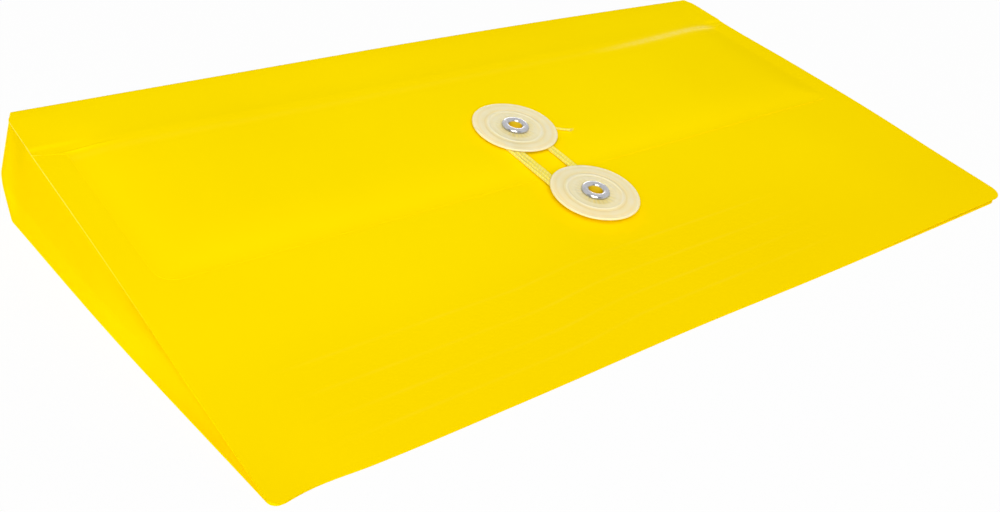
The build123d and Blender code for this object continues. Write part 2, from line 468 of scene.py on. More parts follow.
@dataclass(frozen=True)
class YellowSheet:
    """Satin yellow plastic sheet with a faint moulded grain.

    Scuffs are light lines across the front, at given depths and between two bands of X. The streak
    is a painted highlight along the flap's crease, which drifts towards the mouth on its way to the right.
    The deep colour is painted shade in the gussets' tucked pleat, towards the front edge.
    """

    colour: Colour = (0.985, 0.735, 0.0)
    warm: Colour = (0.955, 0.68, 0.0)
    # Colour of the scuffs and of the painted crease highlight
    pale: Colour = (1.0, 0.88, 0.30)
    # Painted shade of the gussets' tucked pleat
    deep: Colour = (0.86, 0.555, 0.0)
    roughness: float = 0.46
    gloss: float = 0.0
    grain: Grain = Grain(2600.0, 1.0, 0.12, 0.000004)
    cloud_scale: float = 11.0
    cloud_detail: float = 3.0
    cloud_band: Band = (0.35, 0.75)
    cloud_share: float = 0.5
    cloud_roughness: float = 0.08
    worn_depths: Band = (0.0, 0.06)
    worn_share: float = 0.8
    # Depths over which the painted shade of the tuck fades out
    tucked_depths: Band = (0.02, 0.075)
    scuff_depths: tuple[float, ...] = (0.030, 0.0215, 0.014, 0.0075)
    scuff_width: float = 0.0004
    scuff_strength: float = 0.014
    scuff_step: float = 0.0022
    scuff_step_at: Band = (-0.05, -0.02)
    scuff_start: Band = (-0.115, -0.09)
    scuff_stop: Band = (0.02, 0.06)
    scuff_patches: Patches = Patches(60.0, (0.3, 0.7), 0.4)
    # Painted highlight along the flap's crease
    streak_offset: float = -0.0042
    streak_width: float = 0.0011
    streak_strength: float = 0.34
    streak_least: float = 0.01
    streak_drift: float = 0.0034
    streak_drift_at: Band = (0.055, 0.118)
    streak_start: Band = (0.05, 0.095)
    streak_stop: Band = (0.112, 0.120)
    streak_patches: Patches = Patches(900.0, (0.25, 0.65), 0.5)

    def material(self, name: str, mark: SheetMark, lines: FoldLines) -> Material:
        """Makes the sheet's material.

        Args:
            name: Name of the material.
            mark: What the panel shows: scuffs, a painted highlight along the crease, or painted shade in the
                tuck.
            lines: Fold lines that the marks follow.

        Returns:
            The material.
        """
        material, graph = surface(name)
        place, x, y, _ = graph.place()
        cloud = graph.noise(place, self.cloud_scale, self.cloud_detail)
        base = graph.mix(cloud.rise(*self.cloud_band) * self.cloud_share, self.colour, self.warm)
        depth = (y - lines.front_edge) / lines.normal[2]
        if mark is SheetMark.SCUFFED:
            worn = (1.0 - depth.rise(*self.worn_depths)) * self.worn_share
            base = graph.mix(worn, base, self.warm)
            base = graph.mix(self.scuffs(graph, place, x, depth), base, self.pale)
        # Painted shade in the gusset's tucked pleat, darkest at the front edge
        if mark is SheetMark.TUCKED:
            base = graph.mix(1.0 - depth.rise(*self.tucked_depths), base, self.deep)
        # Painted highlight along the flap's crease
        if mark is SheetMark.CREASED:
            from_crease = y - lines.crease[0]
            base = graph.mix(self.whitening(graph, place, x, from_crease), base, self.pale)
        finish_surface(graph, {
            "Base Color": base,
            "Roughness": cloud * self.cloud_roughness + self.roughness,
            "Specular IOR Level": self.gloss,
            "Specular Tint": (*self.colour, 1.0),
            "Normal": self.grain.normal(graph, self.grain.noise(graph, place)),
        })
        return material

    def scuffs(self, graph: Graph, place: Value, x: Value, depth: Value) -> Value:
        """Mask of the faint light lines that papers inside have pressed into the front.

        Args:
            graph: Graph of the material.
            place: Object coordinates.
            x: Place across the envelope.
            depth: Depth along the front.

        Returns:
            The strength of the lines.
        """
        shifted = depth - x.rise(*self.scuff_step_at) * self.scuff_step
        total = shifted.near(self.scuff_depths[0], self.scuff_width)
        for middle in self.scuff_depths[1:]:
            total = total + shifted.near(middle, self.scuff_width)
        seen = x.window(self.scuff_start, self.scuff_stop) * self.scuff_patches.mask(graph, place)
        return total * seen * self.scuff_strength

    def whitening(self, graph: Graph, place: Value, x: Value, from_crease: Value) -> Value:
        """Mask of the painted highlight, a pale streak along the flap's bent crease.

        Args:
            graph: Graph of the material.
            place: Object coordinates.
            x: Place across the envelope.
            from_crease: Distance from the crease towards the mouth.

        Returns:
            The strength of the streak.
        """
        middle = x.rise(*self.streak_drift_at) * self.streak_drift + self.streak_offset
        streak = from_crease.near(middle, self.streak_width)
        along = x.window(self.streak_start, self.streak_stop) * self.streak_strength + self.streak_least
        return streak * along * self.streak_patches.mask(graph, place)


# Painted shade: a darker copy of the yellow sheet for the gussets on the pocket's sides
SHADED_GUSSET_SHEET = YellowSheet(colour=(0.91, 0.648, 0.0), warm=(0.89, 0.62, 0.0))


@dataclass(frozen=True)
class CutEdge:
    """Cut rim of the sheet, paler than its faces because light comes out there, with painted shade along the
    welded front edge.
    """

    colour: Colour = (0.95, 0.69, 0.0)
    bright: Colour = (1.0, 0.80, 0.08)
    # Colour of the painted shade on the rim along the welded front edge
    front: Colour = (0.84, 0.60, 0.0)
    roughness: float = 0.5
    gloss: float = 0.0
    mouth_band: Band = (-0.03, 0.05)
    left_band: Band = (-0.1262, -0.1240)
    front_band: Band = (-0.067, -0.05)
    patches: Patches = Patches(240.0, (0.35, 0.65), 0.6)

    def material(self, name: str) -> Material:
        """Makes the rim's material, brightest on the left where the sheet is held open at the mouth, and
        with painted shade at the welded front.

        Args:
            name: Name of the material.

        Returns:
            The material.
        """
        material, graph = surface(name)
        place, x, y, _ = graph.place()
        open_end = y.rise(*self.mouth_band) * (1.0 - x.rise(*self.left_band))
        base = graph.mix(open_end * self.patches.mask(graph, place), self.colour, self.bright)
        # Painted shade on the rim towards the welded front edge
        base = graph.mix(1.0 - y.rise(*self.front_band), base, self.front)
        sockets = {"Base Color": base, "Roughness": self.roughness, "Specular IOR Level": self.gloss}
        finish_surface(graph, sockets)
        return material


@dataclass(frozen=True)
class MilkyPlastic:
    """Cloudy moulded plastic of the discs, whiter at the rim, with painted highlights on its ridges, painted
    shade in its grooves, along its puckers and on its outer wall, and a painted glow on its front side.

    Rings and bands are shares of the disc's radius.
    """

    colour: Colour = (0.87, 0.725, 0.39)
    # Colour of the painted shade along the puckers and in the grooves
    white: Colour = (0.90, 0.80, 0.58)
    warm: Colour = (0.86, 0.62, 0.20)
    glow: Colour = (0.88, 0.62, 0.10)
    # Colour of the painted shade on the disc's outer wall
    wall: Colour = (0.78, 0.66, 0.36)
    roughness: float = 0.4
    gloss: float = 0.35
    cloudiness: float = 0.6
    scatter: float = 0.002
    scatter_tint: Colour = (1.0, 0.9, 0.6)
    grain: Grain = Grain(2400.0, 2.0, 0.3, 0.00001)
    cloud_scale: float = 220.0
    cloud_detail: float = 3.0
    cloud_band: Band = (0.3, 0.8)
    cloud_share: float = 0.5
    cloud_roughness: float = 0.15
    # Painted shade along the puckers, as middle, reach and strength
    spoke_ring: Ring = (0.30, 0.10, 0.55)
    # Painted glow of the yellow sheet on the front side
    stain_ring: Ring = (0.40, 0.09, 0.6)
    # Painted shade in the grooves, then painted highlights on the ridges
    warm_rings: tuple[Ring, ...] = ((0.70, 0.025, 0.35), (0.88, 0.02, 0.2))
    white_rings: tuple[Ring, ...] = ((0.50, 0.03, 0.25), (0.62, 0.03, 0.5), (0.81, 0.03, 0.25))
    rim_band: Band = (0.90, 0.97)
    rim_share: float = 0.3
    wall_band: Band = (0.985, 0.997)
    wall_share: float = 0.6

    def material(self, name: str) -> Material:
        """Makes the discs' material, which follows the share of the radius kept on the mesh.

        Args:
            name: Name of the material.

        Returns:
            The material.
        """
        material, graph = surface(name)
        place, _, _, _ = graph.place()
        share = graph.stored("radius_share")
        cloud = graph.noise(place, self.cloud_scale, self.cloud_detail)
        layers = [
            (cloud.rise(*self.cloud_band) * self.cloud_share, self.white),
            # Painted shade along the puckers round the eyelet
            (share.ring(*self.spoke_ring) * graph.stored("spoke"), self.warm),
            # Painted glow of the yellow sheet showing through, on the disc's front side
            (share.ring(*self.stain_ring) * graph.stored("stain"), self.glow),
            # Painted shade in the grooves between the ridges
            *[(share.ring(*ring), self.warm) for ring in self.warm_rings],
            # Painted highlights on the ridges
            *[(share.ring(*ring), self.white) for ring in self.white_rings],
            (share.rise(*self.rim_band) * self.rim_share, self.white),
            # Painted shade on the outer wall
            (share.rise(*self.wall_band) * self.wall_share, self.wall),
        ]
        base = self.colour
        for strength, colour in layers:
            base = graph.mix(strength, base, colour)
        finish_surface(graph, {
            "Base Color": base,
            "Roughness": cloud * self.cloud_roughness + self.roughness,
            "Specular IOR Level": self.gloss,
            "Subsurface Weight": self.cloudiness,
            "Subsurface Radius": self.scatter_tint,
            "Subsurface Scale": self.scatter,
            "Normal": self.grain.normal(graph, self.grain.noise(graph, place)),
        })
        return material


@dataclass(frozen=True)
class NickelPlate:
    """Bright plated metal of the eyelets, with a painted reflection of the yellow sheet in their bores."""

    colour: Colour = (0.50, 0.50, 0.52)
    dull: Colour = (0.40, 0.40, 0.41)
    # Colour of the painted reflection of the yellow sheet in the bore
    lining: Colour = (0.72, 0.52, 0.01)
    roughness: float = 0.22
    lining_roughness: float = 0.3
    lining_cover: float = 0.85
    scratches: Grain = Grain(6000.0, 2.0, 0.06, 0.000005)
    patch_scale: float = 500.0
    patch_detail: float = 3.0
    patch_band: Band = (0.4, 0.75)
    patch_share: float = 0.5
    patch_roughness: float = 0.12

    def material(self, name: str) -> Material:
        """Makes the metal, with fine scratches, duller patches and a painted reflection of the yellow sheet
        in the bore, whose share is kept on the mesh.

        Args:
            name: Name of the material.

        Returns:
            The material.
        """
        material, graph = surface(name)
        place, _, _, _ = graph.place()
        bore = graph.stored("bore")
        patch = graph.noise(place, self.patch_scale, self.patch_detail).rise(*self.patch_band)
        plate = graph.mix(patch * self.patch_share, self.colour, self.dull)
        finish_surface(graph, {
            # Painted reflection of the yellow sheet, a non-metal yellow, in the bore
            "Base Color": graph.mix(bore, plate, self.lining),
            "Metallic": 1.0 - bore * self.lining_cover,
            "Roughness": patch * self.patch_roughness + bore * self.lining_roughness + self.roughness,
            "Normal": self.scratches.normal(graph, self.scratches.noise(graph, place)),
        })
        return material


@dataclass(frozen=True)
class SoftString:
    """Pale twisted string with soft fibres."""

    colour: Colour = (1.0, 0.84, 0.19)
    shade: Colour = (0.98, 0.77, 0.07)
    roughness: float = 0.85
    gloss: float = 0.2
    sheen: float = 0.3
    softness: float = 0.5
    scatter: float = 0.0006
    scatter_tint: Colour = (1.0, 0.8, 0.3)
    fibres: Grain = Grain(5200.0, 3.0, 0.6, 0.00004)
    fibre_band: Band = (0.35, 0.7)
    fibre_share: float = 0.2
    ply_band: Band = (0.0, 1.0)
    ply_steps: float = 3.0
    ply_share: float = 0.8

    def material(self, name: str) -> Material:
        """Makes the string's material: one pale strand among yellower ones, and finer fibres.

        Args:
            name: Name of the material.

        Returns:
            The material.
        """
        material, graph = surface(name)
        place, _, _, _ = graph.place()
        fibre = self.fibres.noise(graph, place)
        strand = (graph.stored("ply") * self.ply_steps).rise(*self.ply_band)
        yellow = strand * self.ply_share + fibre.rise(*self.fibre_band) * self.fibre_share
        finish_surface(graph, {
            "Base Color": graph.mix(yellow, self.colour, self.shade),
            "Roughness": self.roughness,
            "Specular IOR Level": self.gloss,
            "Sheen Weight": self.sheen,
            "Subsurface Weight": self.softness,
            "Subsurface Radius": self.scatter_tint,
            "Subsurface Scale": self.scatter,
            "Normal": self.fibres.normal(graph, fibre),
        })
        return material


# Frame

@dataclass
class FoldLines:
    """Fold lines and posts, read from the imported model."""

    hinge: np.ndarray
    foot: np.ndarray
    fold: np.ndarray
    crease: np.ndarray
    lower_post: np.ndarray
    upper_post: np.ndarray
    normal: np.ndarray
    front_edge: float
    half_width: float
    thickness: float
    flap_half_width: float
    flap_edge: float

    @classmethod
    def from_frame(cls, frame: dict) -> FoldLines:
        """Reads the joints' places and the panels' boxes.

        Args:
            frame: What the loaded model gives.

        Returns:
            The fold lines, as Y and Z, and the posts, as points.
        """
        joints = {joint["name"]: joint for joint in frame["joints"]}
        sides = {name: np.array(joint["pos_m"][1:]) for name, joint in joints.items()}
        low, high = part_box("back_panel")
        flap_low, flap_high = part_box("flap")
        return cls(
            hinge=sides["pocket_press"],
            foot=sides["spine_fold"],
            fold=sides["top_fold"],
            crease=sides["flap_crease"],
            lower_post=np.array(joints["lower_disc_spin"]["pos_m"]),
            upper_post=np.array(joints["upper_disc_spin"]["pos_m"]),
            normal=np.array(joints["lower_disc_spin"]["axis"]),
            front_edge=low.y,
            half_width=high.x,
            thickness=high.z,
            flap_half_width=flap_high.x,
            flap_edge=flap_low.y,
        )

    @property
    def climb(self) -> np.ndarray:
        """Direction up the front, in Y and Z."""
        return np.array([self.normal[2], -self.normal[1]])

    def depth_of(self, side: np.ndarray) -> float:
        """Depth along the front of a side view point that lies on it."""
        return float((side - self.hinge) @ self.climb + self.hinge[0] - self.front_edge)

    def on_front(self, depth: float, level: float) -> np.ndarray:
        """Y and Z of a point on the front, from its depth and its height above the sheet's middle."""
        along = depth - (self.hinge[0] - self.front_edge)
        return self.hinge + along * self.climb + level * self.normal[1:]

    def post_place(self, post: np.ndarray) -> Matrix:
        """Places a shape made round Z on a post, square to the front.

        Args:
            post: Place of the post.

        Returns:
            The frame of the shape.
        """
        up = Vector(self.normal)
        across = Vector((1.0, 0.0, 0.0))
        turn = Matrix((across, up.cross(across), up)).transposed()
        return Matrix.Translation(Vector(post)) @ turn.to_4x4()


@dataclass
class Profile:
    """Side view line of a folded sheet, with rounded folds, in Y and Z."""

    corners: list[np.ndarray]
    radii: list[float]
    fine: float = 0.0001
    digits: int = 6
    arc_points: int = 25
    line: np.ndarray = field(init=False)
    length: np.ndarray = field(init=False)

    def __post_init__(self) -> None:
        """Rounds each corner with an arc and measures along the line."""
        points = [self.corners[0]]
        folds = zip(self.corners, self.corners[1:], self.corners[2:], self.radii)
        for before, corner, after, radius in folds:
            points += self.arc(corner, unit(before - corner), unit(after - corner), radius)
        points = np.array([*points, self.corners[-1]])
        along = lengths_along(points)
        self.length = np.arange(0, along[-1], self.fine)
        self.line = points_along(self.length, along, points)

    def arc(
        self, corner: np.ndarray, inward: np.ndarray, onward: np.ndarray, radius: float
    ) -> list[np.ndarray]:
        """Rounds one corner.

        Args:
            corner: The corner.
            inward: Direction from it back along the line.
            onward: Direction from it on along the line.
            radius: Radius of the fold.

        Returns:
            The points of the arc.
        """
        half = math.acos(np.clip(inward @ onward, -1, 1)) / 2
        reach = radius / math.tan(half)
        centre = corner + unit(inward + onward) * radius / math.sin(half)
        first = corner + inward * reach - centre
        last = corner + onward * reach - centre
        turn = math.pi - 2 * half
        points = []
        for share in np.linspace(0, 1, self.arc_points):
            blend = math.sin((1 - share) * turn) * first + math.sin(share * turn) * last
            points.append(centre + blend / math.sin(turn))
        return points

    @property
    def total(self) -> float:
        """Length of the whole line."""
        return float(self.length[-1])

    def at(self, along: np.ndarray) -> np.ndarray:
        """Points at lengths along the line."""
        return points_along(along, self.length, self.line)

    def find(self, point: np.ndarray) -> float:
        """Length along the line of its point nearest to a place."""
        return float(self.length[np.argmin(np.linalg.norm(self.line - point, axis=1))])

    def rows(self, step: float, close: list[tuple[float, float, float]]) -> np.ndarray:
        """Lengths at which a sheet gets a row of points.

        Args:
            step: Usual spacing.
            close: Stretches with closer rows, as their middle, reach and spacing.

        Returns:
            The lengths in order.
        """
        picked = [np.linspace(0, self.total, math.ceil(self.total / step) + 1)]
        for middle, reach, spacing in close:
            picked.append(np.arange(middle - reach, middle + reach + spacing / 2, spacing))
        merged = np.unique(np.clip(np.concatenate(picked), 0, self.total).round(self.digits))
        keep = np.concatenate([[True], np.diff(merged) > self.fine])
        return merged[keep]


def sheet_solid(
    name: str, middle: np.ndarray, thickness: float | np.ndarray, face: Material, rim: Material
) -> Piece:
    """Gives a grid of points the thickness of the sheet.

    Args:
        name: Name of the piece.
        middle: Points at half thickness, as rows, columns and coordinates.
        thickness: Thickness of the sheet, one number or one for each point.
        face: Material of its two faces.
        rim: Material of its cut edges.

    Returns:
        The closed sheet.
    """
    rows, columns, _ = middle.shape
    count = rows * columns
    normal = np.cross(np.gradient(middle, axis=1), np.gradient(middle, axis=0))
    normal /= np.linalg.norm(normal, axis=2, keepdims=True)
    half = normal * np.broadcast_to(thickness, (rows, columns))[:, :, None] / 2
    points = np.concatenate([(middle + half).reshape(-1, 3), (middle - half).reshape(-1, 3)])
    index = np.arange(count).reshape(rows, columns)
    corners = [index[:-1, :-1], index[:-1, 1:], index[1:, 1:], index[1:, :-1]]
    over = np.stack(corners, axis=2).reshape(-1, 4)
    under = over[:, ::-1] + count
    loop = np.concatenate([index[0, :-1], index[:-1, -1], index[-1, :0:-1], index[:0:-1, 0]])
    following = np.roll(loop, -1)
    sides = np.column_stack([following, loop, loop + count, following + count])
    faces = np.concatenate([over, under, sides]).tolist()
    made = mesh_piece(name, points, faces, [face, rim])
    slots = np.zeros(len(faces), np.int32)
    slots[2 * len(over):] = 1
    made.data.polygons.foreach_set("material_index", slots)
    sharp_rims(made)
    return made


def punched(piece: Piece, place: Matrix, radius: float, reach: float, segments: int = 48) -> Piece:
    """Cuts a round hole through a sheet.

    Args:
        piece: Sheet to cut, which is replaced.
        place: Frame of the hole, whose Z is its axis.
        radius: Radius of the hole.
        reach: Half length of the cutter.
        segments: Sides of the cutter.

    Returns:
        The sheet with the hole.
    """
    angles = np.arange(segments) * 2 * math.pi / segments
    ends = (-reach, reach)
    points = np.array([[radius * math.cos(a), radius * math.sin(a), z] for a in angles for z in ends])
    low = range(0, 2 * segments, 2)
    faces = [(i, (i + 2) % len(points), (i + 2) % len(points) + 1, i + 1) for i in low]
    faces.append(tuple(low)[::-1])
    faces.append(tuple(i + 1 for i in low))
    cutter = mesh_piece("hole_cutter", points, faces, list(piece.data.materials))
    cutter.data.transform(place)
    outward_faces(cutter)
    cutter.data.polygons.foreach_set("material_index", np.ones(len(faces), np.int32))
    cut = piece.modifiers.new("hole", "BOOLEAN")
    cut.operation = "DIFFERENCE"
    cut.solver = "EXACT"
    cut.object = cutter
    made = plain_mesh(piece)
    bpy.data.objects.remove(cutter)
    sharp_rims(made)
    return made


# Sub-assemblies

@dataclass
class EdgeShape:
    """How the soft sheet strays from flat panels and straight edges.

    The tables are pairs of a place along an edge and an offset there.
    """

    lines: FoldLines
    front_edge: Table = (
        (-0.127, 0.0004), (-0.119, -0.0008), (-0.105, -0.0002), (-0.070, 0.0001),
        (-0.012, -0.0002), (0.030, 0.0005), (0.080, 0.0007), (0.127, 0.0006),
    )
    front_left: Table = ((0.0, 0.0), (0.08, -0.0006), (0.136, -0.0002))
    front_right: Table = ((0.0, -0.0002), (0.03, 0.0006), (0.06, 0.0005), (0.1, -0.0005), (0.136, -0.0024))
    back_left: Table = ((0.0, -0.0003), (0.07, 0.0006), (0.141, -0.0001))
    right_lift: Table = ((0.0, 0.0), (0.045, 0.0007), (0.085, 0.0), (0.118, -0.0008), (0.136, -0.0006))
    fold_lift: Table = (
        (-0.127, 0.0004), (-0.06, 0.0007), (0.0, 0.0009), (0.06, 0.0005), (0.1, -0.0001), (0.127, -0.0006),
    )
    right_lift_from: float = 0.03
    wave_height: float = 0.00018
    wave_across: float = 0.13
    wave_along: float = 0.19
    wave_turn: float = 0.35
    cross_wave: float = 0.21
    cross_wave_turn: float = -0.2
    cross_wave_share: float = 0.7
    calm_band: Band = (0.036, 0.096)
    calm_squeeze: float = 0.8
    calm_front: Band = (0.006, 0.03)
    calm_sides: Band = (0.09, 0.125)

    def read(self, table: Table, place: np.ndarray | float) -> np.ndarray:
        """Offset at places along an edge, on a smooth curve through the pairs of a table.

        Args:
            table: Pairs of a place and an offset.
            place: Where the offset is read.

        Returns:
            The offsets.
        """
        knots, offsets = np.array(table).T
        slopes = np.gradient(offsets, knots)
        at = np.clip(place, knots[0], knots[-1])
        low = np.clip(np.searchsorted(knots, at) - 1, 0, len(knots) - 2)
        span = knots[low + 1] - knots[low]
        share = (at - knots[low]) / span
        rise = share * share * (3 - 2 * share)
        bend = share * (1 - share) ** 2 * slopes[low] - share ** 2 * (1 - share) * slopes[low + 1]
        return offsets[low] * (1 - rise) + offsets[low + 1] * rise + bend * span

    def height(self, x: np.ndarray, depth: np.ndarray) -> np.ndarray:
        """Height of the soft front over the flat one: waves away from the closure, and a swell at the right.

        Args:
            x: Places across the envelope.
            depth: Depths along the front.

        Returns:
            The heights.
        """
        middle = (self.lines.lower_post + self.lines.upper_post) / 2
        post_depth = (middle[1] - self.lines.front_edge) / self.lines.normal[2]
        away = np.hypot(x - middle[0], (depth - post_depth) * self.calm_squeeze)
        free = smooth_step(away, *self.calm_band) * smooth_step(depth, *self.calm_front)
        free = free * (1 - smooth_step(np.abs(x), *self.calm_sides))
        turns = x / self.wave_across + depth / self.wave_along + self.wave_turn
        cross_turns = x / self.cross_wave + self.cross_wave_turn
        wave = np.sin(2 * math.pi * turns) + self.cross_wave_share * np.sin(2 * math.pi * cross_turns)
        at_right = smooth_step(x, self.right_lift_from, self.lines.half_width)
        return free * self.wave_height * wave + self.read(self.right_lift, depth) * at_right


def corner_trim(from_edge: np.ndarray, radius: float) -> np.ndarray:
    """How far a rounded corner takes the side in, by the distance from the end edge."""
    inside = np.clip(radius - from_edge, 0, radius)
    return radius - np.sqrt(radius ** 2 - inside ** 2)


@dataclass
class FoldedBody:
    """The folded sheet: back panel, spine, flap and front panel, in pieces.

    Bend bands are counted in Y from their fold line, though no piece is bent by them. Close rows are given
    by their reach and spacing. At its free edges the flap thins out and lies down, from places counted from
    the crease. The layer values part the front from the back where the right end of the front edge shows
    both.
    """

    lines: FoldLines
    shape: EdgeShape
    finish: YellowSheet
    rim: CutEdge
    row_step: float = 0.003
    corner_step: float = 0.0003
    foot_rows: Band = (0.002, 0.0003)
    knee_rows: Band = (0.008, 0.001)
    knee_past_foot: float = 0.011
    fold_step: float = 0.0002
    crease_rows: Band = (0.006, 0.0004)
    shoulder_step: float = 0.0001
    cut_clearance: float = 0.00008
    columns: int = 110
    side_columns: tuple[float, ...] = (0.0012, 0.003, 0.006, 0.011)
    left_corner: float = 0.0026
    right_corner: float = 0.0045
    flap_corner: float = 0.005
    shoulder_round: float = 0.0012
    weld_level: float = 1.5
    seam_reach: float = 0.036
    seam_round: float = 0.4
    seam_bend: Band = (-0.0015, 0.0025)
    flap_level: float = 0.0009
    knee_back: float = 0.0046
    knee_height: float = 0.0100
    knee_round: float = 0.007
    foot_round: float = 0.0012
    foot_bend: Band = (-0.0042, 0.011)
    foot_bend_slope: float = 1.0
    fold_round: float = 0.0013
    fold_bend: Band = (-0.0002, -0.0037)
    fold_piece: float = 0.004
    fold_inset: float = 0.00195
    right_inset_share: float = 0.65
    fold_inset_strip: float = 0.0045
    fold_inset_spine: float = 0.0205
    crease_round: float = 0.008
    crease_bend: Band = (-0.0001, -0.0041)
    edge_drop_reach: float = 0.017
    shoulder_drop_reach: float = 0.016
    edge_merge: Band = (-0.018, -0.002)
    edge_taper: float = 0.009
    edge_taper_from: Band = (-0.003, -0.001)
    edge_thickness: float = 0.15
    edge_sink: float = 0.00002
    layer_lift: float = 0.0005
    layer_step: float = 0.0004
    layer_inset: float = 0.0032
    layer_band: Band = (0.03, 0.10)
    layer_fade: float = 0.03
    edge_fade: float = 0.02
    front_reach: float = 0.0006
    back_inset: float = 0.0003
    hole_radius: float = 0.00225
    hole_reach: float = 0.0014
    front: Profile = field(init=False)
    wrap: Profile = field(init=False)
    foot_at: float = field(init=False)
    fold_at: float = field(init=False)
    crease_at: float = field(init=False)

    def __post_init__(self) -> None:
        """Works out the side view lines of the front and of the sheet that wraps from back to flap."""
        lines = self.lines
        crease_depth = lines.depth_of(lines.crease)
        margin = np.array([lines.front_edge, self.weld_level * lines.thickness])
        front_end = lines.on_front(crease_depth + self.front_reach, 0.0)
        self.front = Profile([margin, lines.on_front(self.seam_reach, 0.0), front_end], [self.seam_round])
        knee = lines.foot + np.array([self.knee_back, self.knee_height])
        flap_depth = crease_depth - (lines.crease[0] - lines.flap_edge) / lines.normal[2]
        flap_end = lines.on_front(flap_depth, self.flap_level)
        start = np.array([lines.front_edge + self.back_inset, lines.thickness / 2])
        corners = [start, lines.foot, knee, lines.fold, lines.crease, flap_end]
        self.wrap = Profile(corners, [self.foot_round, self.knee_round, self.fold_round, self.crease_round])
        self.foot_at = self.wrap.find(lines.foot)
        self.fold_at = self.wrap.find(lines.fold)
        self.crease_at = self.wrap.find(lines.crease)

    def build(self) -> None:
        """Builds the sheet's pieces."""
        rim = self.rim.material("cut_edge")
        plain = self.finish.material("yellow_sheet_plain", SheetMark.PLAIN, self.lines)
        scuffed = self.finish.material("yellow_sheet_front", SheetMark.SCUFFED, self.lines)
        creased = self.finish.material("yellow_sheet_flap", SheetMark.CREASED, self.lines)
        self.build_front(scuffed, rim)
        self.build_wrap(plain, creased, rim)

    def spread(self, left: np.ndarray, right: np.ndarray) -> np.ndarray:
        """Spaces columns between two sides, closer at the sides.

        Args:
            left: X of the left side at each row.
            right: X of the right side at each row.

        Returns:
            X of each row's columns.
        """
        near = 1 - np.array(self.side_columns)
        columns = np.unique(np.concatenate([np.linspace(-1, 1, self.columns), near, -near]))
        share = (columns + 1) / 2
        return left[:, None] + (right - left)[:, None] * share[None, :]

    def bend(
        self, piece: Piece, parent: str, child: str, line: np.ndarray, band: Band, slope: float = 0.0
    ) -> None:
        """Bakes a piece's place into its mesh and logs its faces; the bend's start and end are worked out
        but not used.

        Args:
            piece: Sheet to bake and log.
            parent: Body that it would follow before the bend; not used.
            child: Body that it would follow past the bend; not used.
            line: Y and Z of the fold line.
            band: Where the bend starts and ends, in Y from the line.
            slope: How much the way from start to end rises for its length in Y.
        """
        start, end = [(0.0, line[0] + reach, line[1] + slope * reach) for reach in band]
        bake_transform(piece)
        report(piece)

    def build_front(self, face: Material, rim: Material) -> None:
        """Front panel with its welded margin.

        Args:
            face: Material of its faces.
            rim: Material of its cut edges.
        """
        lines, shape = self.lines, self.shape
        rows = self.front.rows(self.row_step, [(0.0, self.right_corner, self.corner_step)])
        side = self.front.at(rows)
        left = -lines.half_width - shape.read(shape.front_left, rows) + corner_trim(rows, self.left_corner)
        right = lines.half_width + shape.read(shape.front_right, rows) - corner_trim(rows, self.right_corner)
        x = self.spread(left, right)
        depth = np.broadcast_to(rows[:, None], x.shape)
        height = shape.height(x, depth)
        at_edge = 1 - smooth_step(depth, 0.0, self.edge_fade)
        layer = smooth_step(x, *self.layer_band)
        raised = self.layer_lift * layer * (1 - smooth_step(depth, 0.0, self.layer_fade))
        out = shape.read(shape.front_edge, x) - self.layer_step * layer
        y = side[:, 0][:, None] - at_edge * out - lines.climb[1] * height
        z = side[:, 1][:, None] + lines.climb[0] * height + raised
        piece = sheet_solid("front_sheet", np.stack([x, y, z], axis=2), lines.thickness, face, rim)
        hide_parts("front_panel", "front_seam")
        self.bend(piece, "back", "front", lines.hinge, self.seam_bend)

    def build_wrap(self, plain: Material, creased: Material, rim: Material) -> None:
        """Sheet that runs from the back panel's edge round the spine to the flap's edge, in three pieces.

        Args:
            plain: Material of the back, the spine and the top fold.
            creased: Material of the flap.
            rim: Material of the cut edges.
        """
        rows, cuts = self.wrap_rows()
        grid, thickness = self.wrap_grid(rows)
        first, second = [int(np.searchsorted(rows, cut)) for cut in cuts]
        self.back_piece(grid[: first + 1], plain, rim)
        self.fold_strip(grid[first: second + 1], plain, rim)
        self.flap_piece(grid[second:], thickness[second:], creased, rim)

    def wrap_rows(self) -> tuple[np.ndarray, np.ndarray]:
        """Places the wrapping sheet's rows, closer at its folds and corners.

        Returns:
            Lengths along the sheet of its rows, and those at which its pieces meet.
        """
        cuts = np.array([self.fold_at - self.fold_piece, self.fold_at + self.fold_piece])
        close = [
            (0.0, self.right_corner, self.corner_step),
            (self.foot_at, *self.foot_rows),
            (self.foot_at + self.knee_past_foot, *self.knee_rows),
            (self.fold_at, self.fold_piece - self.wrap.fine, self.fold_step),
            (self.crease_at, *self.crease_rows),
            (self.crease_at + self.shoulder_round, self.shoulder_round, self.shoulder_step),
            (self.wrap.total, self.flap_corner, self.corner_step),
        ]
        rows = self.wrap.rows(self.row_step, close)
        clear = np.min(np.abs(rows[:, None] - cuts[None, :]), axis=1) > self.cut_clearance
        return np.unique(np.concatenate([rows[clear], cuts])), cuts

